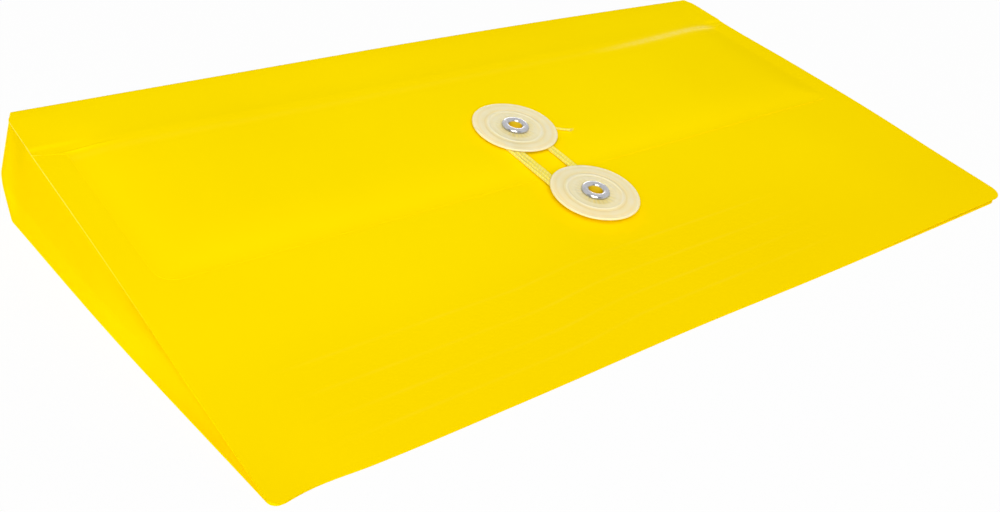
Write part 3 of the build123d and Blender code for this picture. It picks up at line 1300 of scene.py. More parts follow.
    def wrap_sides(self, rows: np.ndarray) -> tuple[np.ndarray, np.ndarray]:
        """X of the wrapping sheet's left and right side at each row.

        Args:
            rows: Lengths along the sheet.

        Returns:
            The left sides and the right sides.
        """
        lines, shape = self.lines, self.shape
        from_fold = rows - self.fold_at
        inset = np.where(
            from_fold > 0,
            1 - smooth_step(from_fold, 0.0, self.fold_inset_strip),
            np.clip(1 + from_fold / self.fold_inset_spine, 0.0, 1.0),
        ) * self.fold_inset
        shoulder = smooth_step(rows, self.crease_at, self.crease_at + 2 * self.shoulder_round)
        step = (lines.half_width - lines.flap_half_width) * shoulder
        end_trim = corner_trim(self.wrap.total - rows, self.flap_corner)
        depth = lines.depth_of(lines.crease) - (rows - self.crease_at)
        on_top = smooth_step(rows, self.fold_at - self.edge_fade, self.fold_at)
        left_out = shape.read(shape.back_left, rows) * (1 - on_top)
        left_out = left_out + shape.read(shape.front_left, depth) * on_top
        right_out = shape.read(shape.front_right, depth) * on_top
        right_out = right_out - self.layer_inset * (1 - smooth_step(rows, 0.0, self.layer_fade))
        left_trim = inset + step + end_trim + corner_trim(rows, self.left_corner)
        right_trim = inset * self.right_inset_share + step + end_trim + corner_trim(rows, self.right_corner)
        return -lines.half_width - left_out + left_trim, lines.half_width + right_out - right_trim

    def from_rim(self, rows: np.ndarray, x: np.ndarray) -> np.ndarray:
        """Distance of each point from the free edges of the flap and from the strip's shoulders.

        Args:
            rows: Lengths along the sheet of its rows.
            x: X of each row's columns.

        Returns:
            The distances.
        """
        from_side = np.minimum(x - x[:, :1], x[:, -1:] - x)
        from_edge = np.minimum(from_side, (self.wrap.total - rows)[:, None])
        before_shoulder = np.clip(self.crease_at + self.shoulder_round - rows, 0.0, None)[:, None]
        inside_shoulder = np.clip(self.lines.flap_half_width - np.abs(x), 0.0, None)
        on_strip = (rows <= self.crease_at + self.shoulder_round)[:, None]
        from_shoulder = np.where(on_strip, np.hypot(before_shoulder, inside_shoulder), from_edge)
        return np.minimum(from_edge, from_shoulder)

    def wrap_grid(self, rows: np.ndarray) -> tuple[np.ndarray, np.ndarray]:
        """Points of the wrapping sheet, whose flap thins out and lies down on the front at its edges.

        Args:
            rows: Lengths along the sheet of its rows.

        Returns:
            Grid of points at half thickness, and the thickness at each.
        """
        lines, shape = self.lines, self.shape
        side = self.wrap.at(rows)
        x = self.spread(*self.wrap_sides(rows))
        past_crease = rows - self.crease_at
        on_flap = smooth_step(rows, self.fold_at, self.crease_at)[:, None]
        up_spine = smooth_step(rows, self.foot_at, self.fold_at)[:, None]
        lift = shape.read(shape.fold_lift, x) * up_spine * (1 - on_flap)
        depth = np.array([lines.depth_of(point) for point in side])
        height = shape.height(x, np.broadcast_to(depth[:, None], x.shape)) * on_flap
        from_edge = self.from_rim(rows, x)
        thinner = (1 - self.edge_thickness) * (1 - smooth_step(from_edge, 0.0, self.edge_taper))
        taper = 1 - thinner * smooth_step(past_crease, *self.edge_taper_from)[:, None]
        drop = self.flap_level - lines.thickness / 2 - taper * lines.thickness / 2 - self.edge_sink
        widen = smooth_step(past_crease, 0.0, 2 * self.edge_drop_reach)[:, None]
        reach = self.shoulder_drop_reach + (self.edge_drop_reach - self.shoulder_drop_reach) * widen
        merged = smooth_step(past_crease, *self.edge_merge)[:, None]
        height = height - drop * merged * (1 - smooth_step(from_edge / reach, 0.0, 1.0))
        front = (1 - smooth_step(rows, 0.0, self.edge_fade))[:, None]
        y = side[:, 0][:, None] - lines.climb[1] * height - front * shape.read(shape.front_edge, x)
        z = side[:, 1][:, None] + lines.climb[0] * height + lift
        return np.stack([x, y, z], axis=2), taper * lines.thickness

    def back_piece(self, grid: np.ndarray, face: Material, rim: Material) -> None:
        """Back panel and spine.

        Args:
            grid: Points at half thickness.
            face: Material of its faces.
            rim: Material of its cut edges.
        """
        lines = self.lines
        piece = sheet_solid("back_sheet", grid, lines.thickness, face, rim)
        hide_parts("back_panel", "spine")
        self.bend(piece, "back", "spine", lines.foot, self.foot_bend, self.foot_bend_slope)

    def fold_strip(self, grid: np.ndarray, face: Material, rim: Material) -> None:
        """Rounded top fold between the spine and the strip.

        Args:
            grid: Points at half thickness.
            face: Material of its faces.
            rim: Material of its cut edges.
        """
        piece = sheet_solid("top_fold_sheet", grid, self.lines.thickness, face, rim)
        self.bend(piece, "spine", "strip", self.lines.fold, self.fold_bend)

    def flap_piece(self, grid: np.ndarray, thickness: np.ndarray, face: Material, rim: Material) -> None:
        """Strip and flap.

        Args:
            grid: Points at half thickness.
            thickness: Thickness at each point.
            face: Material of its faces.
            rim: Material of its cut edges.
        """
        lines = self.lines
        piece = sheet_solid("flap_sheet", grid, thickness, face, rim)
        piece = punched(piece, lines.post_place(lines.upper_post), self.hole_radius, self.hole_reach)
        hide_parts("flap_strip", "flap")
        self.bend(piece, "strip", "flap", lines.crease, self.crease_bend)


@dataclass
class SideGussets:
    """Pleated sides of the pocket: nearly flat towards the spine, tucked in towards the front.

    Bands are shares of the way from the front edge to the spine.
    """

    lines: FoldLines
    shape: EdgeShape
    body: FoldedBody
    finish: YellowSheet
    thickness: float = 0.0003
    start_depth: float = 0.0015
    seat: float = 0.00004
    spine_gap: float = 0.00038
    spine_reach: float = 0.0005
    spine_band: Band = (0.84, 1.0)
    fold_gap: float = 0.0008
    strip_gap: float = 0.00028
    crease_gap: float = 0.001
    step_reach: float = 0.008
    edge_inset: float = 0.0001
    inset_band: Band = (0.88, 1.0)
    inset_from: float = 0.0115
    flat_tuck: float = 0.0011
    flat_fold: float = 0.24
    flat_round: float = 0.2
    flat_start: Band = (0.3, 0.55)
    flat_stop: Band = (0.955, 1.0)
    deep_tuck: float = 0.0022
    deep_limit: float = 0.45
    deep_round: float = 1.7
    deep_start: Band = (0.0, 0.12)
    deep_stop: Band = (0.30, 0.62)
    pressed_share: float = 0.095
    rows: int = 120
    columns: int = 36

    def build(self) -> None:
        """Builds both gussets, which ride on the back."""
        face = self.finish.material("yellow_sheet_gusset", SheetMark.TUCKED, self.lines)
        rim = bpy.data.materials["cut_edge"]
        for side, name in ((-1, "left"), (1, "right")):
            piece = sheet_solid(f"{name}_gusset", self.grid(side), self.thickness, face, rim)
            outward_faces(piece)
            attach(piece, "back")
            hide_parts(f"{name}_gusset_upper", f"{name}_gusset_lower")
            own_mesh(piece)
            report(piece)

    def top_line(self, share: np.ndarray) -> np.ndarray:
        """Side view points along the underside of the front and of the strip behind it.

        Args:
            share: Shares of the way from the front edge to the spine.

        Returns:
            The points.
        """
        lines = self.lines
        seated = lines.thickness / 2 - self.seat
        under = lines.thickness / 2 + self.strip_gap
        first = self.body.front.at(np.array([self.start_depth]))[0] - seated * lines.normal[1:]
        seam = lines.on_front(self.body.seam_reach, -seated)
        bend = lines.on_front(lines.depth_of(lines.crease) - self.crease_gap, -seated)
        last = lines.fold - np.array([self.fold_gap, self.fold_gap])
        rise = unit(lines.fold - lines.crease)
        step = lines.crease + rise * self.step_reach + np.array([rise[1], -rise[0]]) * under
        corners = np.array([first, seam, bend, step, last])
        lengths = lengths_along(corners)
        return points_along(share * lengths[-1], lengths, corners)

    def top_edge(self, side: int, share: np.ndarray) -> tuple[np.ndarray, np.ndarray, np.ndarray]:
        """Upper edge of one gusset, which follows the soft front and then the top fold.

        Args:
            side: -1 for the left gusset and 1 for the right one.
            share: Shares of the way from the front edge to the spine.

        Returns:
            Its distances from the middle, its Y and its Z.
        """
        lines, shape = self.lines, self.shape
        y, z = self.top_line(share).T
        depth = (y - lines.front_edge) / lines.normal[2]
        table = shape.front_left if side < 0 else shape.front_right
        out = lines.half_width + shape.read(table, depth) - self.edge_inset
        near_fold = smooth_step(y, lines.crease[0], lines.fold[0])
        z = z + shape.height(side * out, depth) * (1 - near_fold)
        return out, y, z + shape.read(shape.fold_lift, side * out) * near_fold

    def tuck(self, share: np.ndarray, rise: np.ndarray, room: np.ndarray) -> np.ndarray:
        """How far the pleat takes one gusset in.

        Args:
            share: Shares of the way from the front edge to the spine.
            rise: Shares of the way from the foot to the top.
            room: Height of the gusset at each share.

        Returns:
            The distances, as rows and columns.
        """
        deep = self.deep_tuck * window(share, self.deep_start, self.deep_stop)
        deep = np.minimum(deep, self.deep_limit * room)
        flat = self.flat_tuck * window(share, self.flat_start, self.flat_stop)
        round_pleat = 1 - np.abs(2 * rise - 1) ** self.deep_round
        low_pleat = np.where(rise < self.flat_fold, rise / self.flat_fold, (1 - rise) / (1 - self.flat_fold))
        ends = (-self.flat_round, 1 + self.flat_round)
        low_pleat = smooth_step(low_pleat, *ends) - smooth_step(0.0, *ends)
        return deep[:, None] * round_pleat + flat[:, None] * low_pleat

    def grid(self, side: int) -> np.ndarray:
        """Points of one gusset.

        Args:
            side: -1 for the left gusset and 1 for the right one.

        Returns:
            Grid of points from the front to the spine and from the foot to the top.
        """
        lines, wrap = self.lines, self.body.wrap
        share = np.linspace(0, 1, self.rows)
        rise = np.linspace(0, 1, self.columns)
        top_x, top_y, top_z = self.top_edge(side, share)
        foot_reach = lines.foot[0] - self.spine_gap - lines.front_edge
        foot_depth = self.start_depth + share * (foot_reach - self.start_depth)
        foot_x = np.full(self.rows, lines.half_width - self.edge_inset)
        if side < 0:
            foot_x = foot_x + self.shape.read(self.shape.back_left, foot_depth)
        foot_z = lines.thickness - self.seat
        z = foot_z + (top_z - foot_z)[:, None] * rise[None, :]
        y = (lines.front_edge + foot_depth)[:, None] * (1 - rise) + top_y[:, None] * rise
        spine = wrap.line[wrap.line[:, 0] > lines.fold[0] - self.spine_reach]
        upward = spine[np.argsort(spine[:, 1])]
        bow = np.interp(z[-1], upward[:, 1], upward[:, 0]) - self.spine_gap - y[-1]
        y = y + bow[None, :] * smooth_step(share, *self.spine_band)[:, None]
        edge = foot_x[:, None] * (1 - rise) + top_x[:, None] * rise
        up_spine = np.clip((z - self.inset_from) / (lines.fold[1] - self.inset_from), 0.0, 1.0)
        inset = self.body.fold_inset * (1.0 if side < 0 else self.body.right_inset_share)
        edge = edge - inset * up_spine * smooth_step(share, *self.inset_band)[:, None]
        x = side * (edge - self.tuck(share, rise, top_z - foot_z))
        return np.stack([x, y, z], axis=2)


@dataclass
class ClosureDisc:
    """Milky disc with raised rings, a lipped rim and puckers round its eyelet.

    Rings and bands are shares of the radius.
    """

    lines: FoldLines
    finish: Material
    radius: float = 0.0125
    thickness: float = 0.0008
    bore: float = 0.00226
    hub_radius: float = 0.0028
    upper_hub: float = 0.0011
    lower_hub: float = 0.0020
    face_drop: float = 0.0002
    face_rows: int = 90
    rings: tuple[Ring, ...] = (
        (0.62, 0.022, 0.00016), (0.70, 0.02, -0.00006), (0.46, 0.03, 0.00005), (0.965, 0.018, 0.0001),
    )
    rim_round: float = 0.00015
    rim_drop: float = 0.00036
    rim_bevel: float = 0.0014
    rim_low: float = 0.00028
    pucker_count: int = 23
    pucker_height: float = 0.00006
    pucker_sway: float = 1.3
    pucker_bends: int = 3
    pucker_uneven: float = 0.3
    pucker_lumps: int = 5
    pucker_turn: float = 1.0
    pucker_start: Band = (0.22, 0.3)
    pucker_stop: Band = (0.36, 0.58)
    wobble_height: float = 0.00008
    wobble_bends: int = 3
    wobble_turn: float = 0.6
    wobble_band: Band = (0.6, 1.0)
    # Side and unevenness of the painted glow
    stain_deg: float = -120.0
    stain_uneven: float = 0.25
    segments: int = 192

    def build(self, name: str, body: str, post: np.ndarray, hub_height: float) -> None:
        """Builds one disc.

        Args:
            name: Name of the node that it stands for.
            body: Body that it rides on.
            post: Place of its post, at the underside of the disc.
            hub_height: Height of the hub below it.
        """
        radii = np.linspace(self.bore, self.radius - self.rim_round, self.face_rows)[::-1]
        top = self.thickness - self.face_drop
        for middle, reach, height in self.rings:
            top = top + height * np.exp(-((radii / self.radius - middle) / reach) ** 2)
        outside = [
            (self.bore, -hub_height),
            (self.hub_radius, -hub_height),
            (self.hub_radius, 0.0),
            (self.radius - self.rim_bevel, 0.0),
            (self.radius, self.rim_low),
            (self.radius, self.thickness - self.rim_drop),
        ]
        profile = np.concatenate([outside, np.column_stack([radii, top])])
        piece = revolved(name + "_face", profile, self.segments, self.finish)
        self.pucker(piece)
        set_smooth(piece, lambda face: True)
        piece.data.transform(self.lines.post_place(post))
        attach(piece, body)
        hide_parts(name)
        report(piece)

    def pucker(self, piece: Piece) -> None:
        """Puckers the face round the eyelet, and keeps on the mesh what the finish follows, with the painted
        shade of the puckers and the painted glow on the front side.

        Args:
            piece: Disc, still round the Z axis.
        """
        points = np.zeros(len(piece.data.vertices) * 3, np.float32)
        piece.data.vertices.foreach_get("co", points)
        points = points.reshape(-1, 3)
        angle = np.arctan2(points[:, 1], points[:, 0])
        share = np.hypot(points[:, 0], points[:, 1]) / self.radius
        wave = np.sin(self.pucker_count * angle + self.pucker_sway * np.sin(self.pucker_bends * angle))
        uneven = self.pucker_uneven * np.sin(self.pucker_lumps * angle + self.pucker_turn)
        wave = wave * (1 - self.pucker_uneven + uneven)
        puckers = self.pucker_height * wave * window(share, self.pucker_start, self.pucker_stop)
        points[:, 2] += np.where(points[:, 2] > self.thickness / 2, puckers, 0)
        wobble = self.wobble_height * np.sin(self.wobble_bends * angle + self.wobble_turn)
        points[:, 2] += wobble * smooth_step(share, *self.wobble_band)
        piece.data.vertices.foreach_set("co", points.ravel())
        # Painted glow on the side that faces the front
        facing = np.clip(np.cos(angle - math.radians(self.stain_deg)), 0, None) ** 2
        store(piece, "radius_share", share)
        # Painted shade that follows the puckers
        store(piece, "spoke", (1 + wave) / 2)
        store(piece, "stain", facing * (1 - self.stain_uneven + self.stain_uneven * wave))
        piece.data.update()


@dataclass
class Eyelet:
    """Plated eyelet with a rolled rim on the disc and a curled clinch behind the sheet.

    Turns are counted in half circles, from the outside of a curl over its top.
    """

    lines: FoldLines
    finish: Material
    bore: float = 0.00195
    barrel: float = 0.0022
    upper_grip: float = 0.0016
    lower_grip: float = 0.0025
    roll_radius: float = 0.0040
    roll_low: float = 0.00066
    roll_height: float = 0.00105
    roll_lip: float = 0.00022
    roll_under: float = -0.2
    roll_tuck: float = 0.0003
    roll_turns: Band = (-0.12, 1.0)
    roll_points: int = 22
    # Turns over which the roll takes the bore's painted reflection
    lining_turns: Band = (0.86, 0.97)
    clinch_radius: float = 0.0034
    clinch_height: float = 0.00035
    clinch_edge: float = 0.0001
    clinch_turns: Band = (1.0, 2.0)
    clinch_points: int = 10
    segments: int = 96

    def build(self, name: str, body: str, post: np.ndarray, grip: float) -> None:
        """Builds one eyelet.

        Args:
            name: Name of the node that it stands for.
            body: Body that it rides on.
            post: Place of its post, at the underside of the disc.
            grip: Depth of the sheet's underside below the disc.
        """
        foot = -grip
        turns = np.linspace(*self.roll_turns, self.roll_points)
        bulge = np.sin(turns * math.pi).clip(self.roll_under, 1)
        roll_z = self.roll_low + self.roll_lip + (self.roll_height - self.roll_lip) * bulge
        roll = np.column_stack([self.across(self.roll_radius, turns), roll_z])
        clinch_turns = np.linspace(*self.clinch_turns, self.clinch_points)
        clinch_z = foot - self.clinch_edge + self.clinch_height * np.sin(clinch_turns * math.pi)
        clinch = np.column_stack([self.across(self.clinch_radius, clinch_turns), clinch_z])
        outside = np.array([
            (self.clinch_radius - self.clinch_edge, foot),
            (self.barrel, foot),
            (self.barrel, self.roll_low),
            (self.roll_radius - self.roll_tuck, self.roll_low),
        ])
        profile = np.concatenate([roll, clinch, outside])
        inside = np.zeros(len(profile))
        # Share of the bore's painted reflection: the inside of the roll and the bore
        inside[: len(roll)] = smooth_step(turns, *self.lining_turns)
        inside[len(roll)] = 1.0
        piece = revolved(name + "_ring", profile, self.segments, self.finish)
        store(piece, "bore", np.tile(inside, self.segments))
        piece.data.transform(self.lines.post_place(post))
        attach(piece, body)
        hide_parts(name)
        report(piece)

    def across(self, radius: float, turns: np.ndarray) -> np.ndarray:
        """Radii on a curl between the bore and an outer radius, at half turns round it."""
        return (self.bore + radius) / 2 + (radius - self.bore) / 2 * np.cos(turns * math.pi)


@dataclass
class StringFray:
    """Loose fibres at the string's cut tip, as thin curved hairs."""

    finish: Material
    hairs: int = 9
    seed: int = 7
    spread: Band = (-0.9, 0.9)
    lift: Band = (-0.25, 0.35)
    reach: Band = (0.0006, 0.0015)
    across_tip: Band = (-0.00022, 0.00022)
    up_tip: Band = (-0.0002, 0.0002)
    root: float = 0.0005
    bend_share: float = 0.7
    radius: float = 0.00006
    taper: float = 1.15
    rings: int = 6
    ring_angles: tuple[float, ...] = (0.3, 2.4, 4.5)
    tip_points: int = 8

    def build(self, path: list[Vector], up: np.ndarray) -> Piece:
        """Builds the hairs as one mesh.

        Args:
            path: Points that the string follows, its tip last.
            up: Direction away from the front.

        Returns:
            The hairs.
        """
        draw = np.random.default_rng(self.seed)
        tip = np.array(path[-1])
        ahead = np.array((path[-1] - path[-self.tip_points]).normalized())
        across = np.cross(up, ahead)
        sides = len(self.ring_angles)
        points, faces = [], []
        for _ in range(self.hairs):
            spread = draw.uniform(*self.spread)
            lift = draw.uniform(*self.lift)
            length = draw.uniform(*self.reach) + self.root
            base = tip + across * draw.uniform(*self.across_tip)
            base = base + up * draw.uniform(*self.up_tip) - ahead * self.root
            first = len(points)
            for share in np.linspace(0, 1, self.rings):
                bend = spread * share * share * self.bend_share
                centre = base + (ahead * share + across * bend + up * lift * share) * length
                radius = self.radius * (self.taper - share)
                for angle in self.ring_angles:
                    points.append(centre + radius * (across * math.cos(angle) + up * math.sin(angle)))
            last = len(points) - sides
            for low in range(first, last, sides):
                for j in range(sides):
                    k = (j + 1) % sides
                    faces.append((low + j, low + k, low + sides + k, low + sides + j))
            faces.append(tuple(range(first, first + sides))[::-1])
            faces.append(tuple(range(last, last + sides)))
        made = mesh_piece("string_fray", np.array(points), faces, [self.finish])
        outward_faces(made)
        set_smooth(made, lambda face: len(face.vertices) == 4)
        return made


@dataclass
class WoundString:
    """String wound round both posts, with a free tail at the upper disc."""

    lines: FoldLines
    finish: Material
    diameter: float = 0.0009
    pitch: float = 0.00132
    play: float = 0.00015
    end_gap: float = 0.0001
    hub_radius: float = 0.0028
    left_run: float = 0.0056
    level: float = -0.0006
    rounds: int = 3
    last_turn_deg: float = 130.0
    tail: Table = ((0.0043, -0.0039), (0.0080, -0.0088), (0.0120, -0.0112))
    arc_step_deg: float = 22.5
    near_post: float = 0.0054
    route_order: int = 3
    route_steps: int = 8
    strands: int = 3
    strand_share: float = 0.31
    offset_share: float = 0.26
    lay: float = 0.0011
    tail_thin: float = 0.4
    tail_reach: float = 0.014
    spacing: float = 0.00012
    sides: int = 7

    def build(self) -> None:
        """Builds the string as twisted strands that follow its route."""
        place, spacing = self.frame()
        route = [place @ Vector((x, y, 0.0)) for x, y in self.route(spacing)]
        path = self.spline_points(route)
        piece = self.twisted("string_tie", path)
        fray = StringFray(self.finish).build(path, self.lines.normal)
        for part in (piece, fray):
            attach(part, "front")
            report(part)
        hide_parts("string_winding", "string_tail")

    def frame(self) -> tuple[Matrix, float]:
        """Places the winding on the front.

        Returns:
            Its frame, with the upper post straight ahead on Y, and the posts' spacing.
        """
        lower = Vector(self.lines.lower_post)
        ahead = Vector(self.lines.upper_post) - lower
        up = Vector(self.lines.normal)
        forward = ahead.normalized()
        turn = Matrix((forward.cross(up), forward, up)).transposed()
        return Matrix.Translation(lower + up * self.level) @ turn.to_4x4(), ahead.length

    def arc(self, centre: Band, radius: float, start: float, sweep: float) -> list[Band]:
        """Points of a turn, set out so that the spline through them has the turn's radius.

        Args:
            centre: Middle of the turn.
            radius: Its radius.
            start: Its first angle, in degrees.
            sweep: How far it turns, in degrees.

        Returns:
            The points in order.
        """
        count = math.ceil(abs(sweep) / self.arc_step_deg)
        step = math.radians(sweep) / count
        out = radius / math.cos(step / 2)
        angles = [math.radians(start) + step * (i + 0.5) for i in range(count)]
        return [(centre[0] + out * math.cos(a), centre[1] + out * math.sin(a)) for a in angles]

    def route(self, spacing: float) -> list[Band]:
        """Route about the lower post: up on the left and down on the right, a pitch further out each turn.

        Args:
            spacing: Distance between the posts.

        Returns:
            Its points, across and along the winding.
        """
        start = -self.hub_radius - self.end_gap
        bend_start = start - self.diameter
        bend = self.left_run + bend_start
        left = -self.left_run
        right = self.hub_radius + self.play + self.diameter / 2
        low, high = self.near_post, spacing - self.near_post
        points = [(start, 0.0), (bend_start, 0.0)]
        points += self.arc((bend_start, bend), bend, -90, -90)
        for _ in range(self.rounds - 1):
            radius = (right - left) / 2
            points += [(left, low), (left, high)]
            points += self.arc((left + radius, spacing), radius, 180, -180)
            points += [(right, high), (right, low)]
            left -= self.pitch
            low_radius = (right - left) / 2
            points += self.arc((right - low_radius, 0.0), low_radius, 0, -180)
            right += self.pitch
        radius = (right - left) / 2
        points += [(left, low), (left, high)]
        points += self.arc((left + radius, spacing), radius, 180, -self.last_turn_deg)
        last = math.radians(180 - self.last_turn_deg)
        end = (left + radius + radius * math.cos(last), spacing + radius * math.sin(last))
        leave = (end[0] + self.diameter * math.sin(last), end[1] - self.diameter * math.cos(last))
        return points + [leave] + [(leave[0] + x, leave[1] + y) for x, y in self.tail]

    def spline_points(self, route: list[Vector]) -> list[Vector]:
        """Reads the smooth spline whose control points are the route.

        Args:
            route: Control points.

        Returns:
            Points on the spline.
        """
        curve = bpy.data.curves.new("string_route", "CURVE")
        curve.dimensions = "3D"
        curve.resolution_u = self.route_steps
        spline = curve.splines.new("NURBS")
        spline.points.add(len(route) - 1)
        for point, place in zip(spline.points, route):
            point.co = (*place, 1.0)
        spline.order_u = self.route_order
        spline.use_endpoint_u = True
        holder = bpy.data.objects.new("string_route", curve)
        mesh = bpy.data.meshes.new_from_object(holder)
        points = [vertex.co.copy() for vertex in mesh.vertices]
        bpy.data.objects.remove(holder)
        bpy.data.curves.remove(curve)
        bpy.data.meshes.remove(mesh)
        return points

    def twisted(self, name: str, path: list[Vector]) -> Piece:
        """Strands laid round a path, as one mesh.

        Args:
            name: Name of the piece.
            path: Points that the string follows.

        Returns:
            The strands.
        """
        mesh = bpy.data.meshes.new(name)
        mesh.from_pydata([tuple(p) for p in path], [(i, i + 1) for i in range(len(path) - 1)], [])
        piece = bpy.data.objects.new(name, mesh)
        bpy.context.scene.collection.objects.link(piece)
        tree, sockets = self.strand_tree()
        modifier = piece.modifiers.new("strands", "NODES")
        modifier.node_group = tree
        sizes = {
            "Strands": self.strands,
            "Offset": self.diameter * self.offset_share,
            "Radius": self.diameter * self.strand_share,
            "Lay": self.lay,
            "Tail": self.tail_reach,
            "Spacing": self.spacing,
            "Sides": self.sides,
            "Finish": self.finish,
        }
        for key, value in sizes.items():
            modifier[sockets[key]] = value
        made = plain_mesh(piece)
        set_smooth(made, lambda face: len(face.vertices) == 4)
        return made

    def strand_tree(self) -> tuple[bpy.types.NodeTree, dict[str, str]]:
        """Geometry tree that twists strands round a line.

        Returns:
            The tree, and the identifiers of its inputs by name.
        """
        tree = bpy.data.node_groups.new("twisted_strands", "GeometryNodeTree")
        kinds = {
            "Geometry": "NodeSocketGeometry", "Strands": "NodeSocketInt", "Offset": "NodeSocketFloat",
            "Radius": "NodeSocketFloat", "Lay": "NodeSocketFloat", "Tail": "NodeSocketFloat",
            "Spacing": "NodeSocketFloat", "Sides": "NodeSocketInt", "Finish": "NodeSocketMaterial",
        }
        sockets = {
            name: tree.interface.new_socket(name, in_out="INPUT", socket_type=kind).identifier
            for name, kind in kinds.items()
        }
        tree.interface.new_socket("Geometry", in_out="OUTPUT", socket_type="NodeSocketGeometry")
        graph = Graph(tree)
        given = graph.node("NodeGroupInput")
        size = {name: given.other(name) for name in kinds}
        line = graph.node("GeometryNodeMeshToCurve", None, {0: size["Geometry"]})
        even = {"Curve": line, "Length": size["Spacing"]}
        line = graph.node("GeometryNodeResampleCurve", {"mode": "LENGTH"}, even)
        each = {"Geometry": line, "Amount": size["Strands"]}
        copies = graph.node("GeometryNodeDuplicateElements", {"domain": "SPLINE"}, each)
        strand = copies.other(1) / size["Strands"]
        along = graph.node("GeometryNodeSplineParameter", output="Length")
        angle = (along / size["Lay"] + strand) * (2 * math.pi)
        normal = graph.node("GeometryNodeInputNormal")
        beside = graph.node("GeometryNodeInputTangent").vector("CROSS_PRODUCT", normal)
        outward = normal.scaled(angle.math("COSINE")).vector("ADD", beside.scaled(angle.math("SINE")))
        from_end = (graph.node("GeometryNodeSplineLength") - along) / size["Tail"]
        thin = from_end.rise(0.0, 1.0) * self.tail_thin + (1 - self.tail_thin)
        shift = {0: copies, "Offset": outward.scaled(thin * size["Offset"])}
        moved = graph.node("GeometryNodeSetPosition", None, shift)
        ply = {0: moved, "Name": "ply", "Value": strand}
        moved = graph.node("GeometryNodeStoreNamedAttribute", {"domain": "CURVE"}, ply)
        ring_size = {"Resolution": size["Sides"], "Radius": size["Radius"]}
        ring = graph.node("GeometryNodeCurvePrimitiveCircle", None, ring_size)
        sweep = {"Curve": moved, "Profile Curve": ring, "Scale": thin, "Fill Caps": True}
        tube = graph.node("GeometryNodeCurveToMesh", None, sweep)
        real = graph.node("GeometryNodeRealizeInstances", None, {0: tube})
        dressed = graph.node("GeometryNodeSetMaterial", None, {0: real, "Material": size["Finish"]})
        graph.node("NodeGroupOutput", None, {0: dressed})
        return tree, sockets


# Studio

def direction(azimuth_deg: float, elevation_deg: float) -> Vector:
    """Direction from the envelope.

    Args:
        azimuth_deg: Turn from its front to the right.
        elevation_deg: Rise above the table.

    Returns:
        The direction, of length 1.
    """
    turn = math.radians(azimuth_deg)
    rise = math.radians(elevation_deg)
    return Vector((math.sin(turn) * math.cos(rise), -math.cos(turn) * math.cos(rise), math.sin(rise)))


@dataclass(frozen=True)
class Lamp:
    """Square soft lamp that points at the envelope, from a direction and a distance."""

    name: str
    azimuth_deg: float
    elevation_deg: float
    distance: float
    size: float
    power: float

    def build(self) -> None:
        """Builds the lamp."""
        light = bpy.data.lights.new(self.name, "AREA")
        light.size = self.size
        light.energy = self.power
        holder = bpy.data.objects.new(self.name, light)
        towards = direction(self.azimuth_deg, self.elevation_deg)
        holder.location = towards * self.distance
        holder.rotation_euler = (-towards).to_track_quat("-Z", "Y").to_euler()
        bpy.context.scene.collection.objects.link(holder)


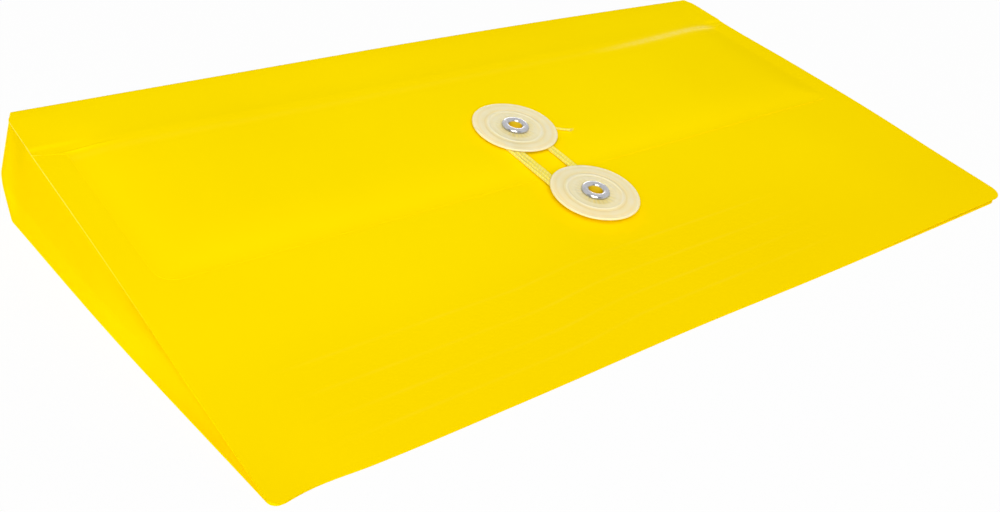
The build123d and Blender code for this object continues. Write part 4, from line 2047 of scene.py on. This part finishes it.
@dataclass
class Studio:
    """White floor, soft light and the camera of the photograph's view."""

    camera_place: tuple[float, float, float] = (-0.201582, -0.216825, 0.135681)
    azimuth_deg: float = -40.4597
    elevation_deg: float = 25.1872
    roll_deg: float = 3.4673
    lens: float = 40.5525
    shift_y: float = -0.04
    clip_start: float = 0.01
    floor_drop: float = 0.0001
    floor_half: float = 4.0
    floor_white: float = 0.92
    shadow_share: float = 0.06
    sky: float = 0.33
    room: float = 0.12
    room_elevation_deg: float = 5.0
    room_band: Band = (0.35, 0.85)
    lamps: tuple[Lamp, ...] = (
        Lamp("front_light", -40.0, 30.0, 3.0, 1.8, 98.0),
        Lamp("back_light", 140.0, 8.0, 2.0, 1.2, 14.0),
    )

    def build(self) -> None:
        """Builds the floor, the world, the lamps and the camera."""
        bpy.context.scene.view_settings.view_transform = "Standard"
        self.floor()
        self.world()
        for lamp in self.lamps:
            lamp.build()
        self.camera()

    def seen(self, graph: Graph) -> Value:
        """Tells the rays that show the background: from the camera, and through gloss and glass.

        Args:
            graph: Graph of the material or the world.

        Returns:
            1 for such rays, 0 for the others.
        """
        path = graph.node("ShaderNodeLightPath", output="Is Camera Ray")
        shown = path.math("MAXIMUM", path.other("Is Glossy Ray"))
        return shown.math("MAXIMUM", path.other("Is Transmission Ray"))

    def floor(self) -> None:
        """Wide white floor that keeps a faint shadow."""
        half, low = self.floor_half, -self.floor_drop
        points = np.array([(-half, -half, low), (half, -half, low), (half, half, low), (-half, half, low)])
        material, graph = surface("white_floor")
        lit = graph.node("ShaderNodeBsdfDiffuse", None, {"Color": (*[self.floor_white] * 3, 1.0)})
        white = graph.node("ShaderNodeEmission", None, {"Color": WHITE, "Strength": 1.0})
        share = self.seen(graph) * (1 - self.shadow_share)
        mixed = graph.node("ShaderNodeMixShader", None, {0: share, 1: lit, 2: white})
        graph.node("ShaderNodeOutputMaterial", None, {"Surface": mixed})
        mesh_piece("floor", points, [(0, 1, 2, 3)], [material])

    def world(self) -> None:
        """Even white surroundings, white where they show, with a dark room for gloss to mirror."""
        world = bpy.data.worlds.new("studio")
        world.use_nodes = True
        bpy.context.scene.world = world
        graph = Graph(world.node_tree)
        way = graph.node("ShaderNodeTexCoord", output="Generated")
        room = tuple(direction(self.azimuth_deg, self.room_elevation_deg))
        towards = way.vector("DOT_PRODUCT", room, output=1)
        glossy = graph.node("ShaderNodeLightPath", output="Is Glossy Ray")
        dark = glossy * towards.rise(*self.room_band) * (1 - self.room)
        strength = self.seen(graph) * (1 - self.sky) + self.sky - dark
        light = graph.node("ShaderNodeBackground", None, {"Color": WHITE, "Strength": strength})
        graph.node("ShaderNodeOutputWorld", None, {"Surface": light})

    def camera(self) -> None:
        """Camera at the photograph's place, angle and lens."""
        turn = math.radians(self.azimuth_deg)
        roll = math.radians(self.roll_deg)
        back = direction(self.azimuth_deg, self.elevation_deg)
        level = Vector((math.cos(turn), math.sin(turn), 0.0))
        upright = back.cross(level)
        right = level * math.cos(roll) + upright * math.sin(roll)
        data = bpy.data.cameras.new("camera")
        data.lens = self.lens
        data.shift_y = self.shift_y
        data.clip_start = self.clip_start
        holder = bpy.data.objects.new("camera", data)
        turned = Matrix((right, back.cross(right), back)).transposed()
        holder.matrix_world = Matrix.Translation(self.camera_place) @ turned.to_4x4()
        bpy.context.scene.collection.objects.link(holder)
        bpy.context.scene.camera = holder


def main() -> None:
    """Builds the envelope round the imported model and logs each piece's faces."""
    logging.basicConfig(level=logging.INFO, format="%(name)s: %(message)s")
    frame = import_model()
    lines = FoldLines.from_frame(frame)
    Studio().build()
    shape = EdgeShape(lines)
    body = FoldedBody(lines, shape, YellowSheet(), CutEdge())
    body.build()
    SideGussets(lines, shape, body, SHADED_GUSSET_SHEET).build()
    disc = ClosureDisc(lines, MilkyPlastic().material("milky_plastic"))
    disc.build("upper_disc", "upper_disc", lines.upper_post, disc.upper_hub)
    disc.build("lower_disc", "lower_disc", lines.lower_post, disc.lower_hub)
    eyelet = Eyelet(lines, NickelPlate().material("nickel_plate"))
    eyelet.build("upper_eyelet", "flap", lines.upper_post, eyelet.upper_grip)
    eyelet.build("lower_eyelet", "front", lines.lower_post, eyelet.lower_grip)
    WoundString(lines, SoftString().material("soft_string")).build()


if __name__ == "__main__":
    main()
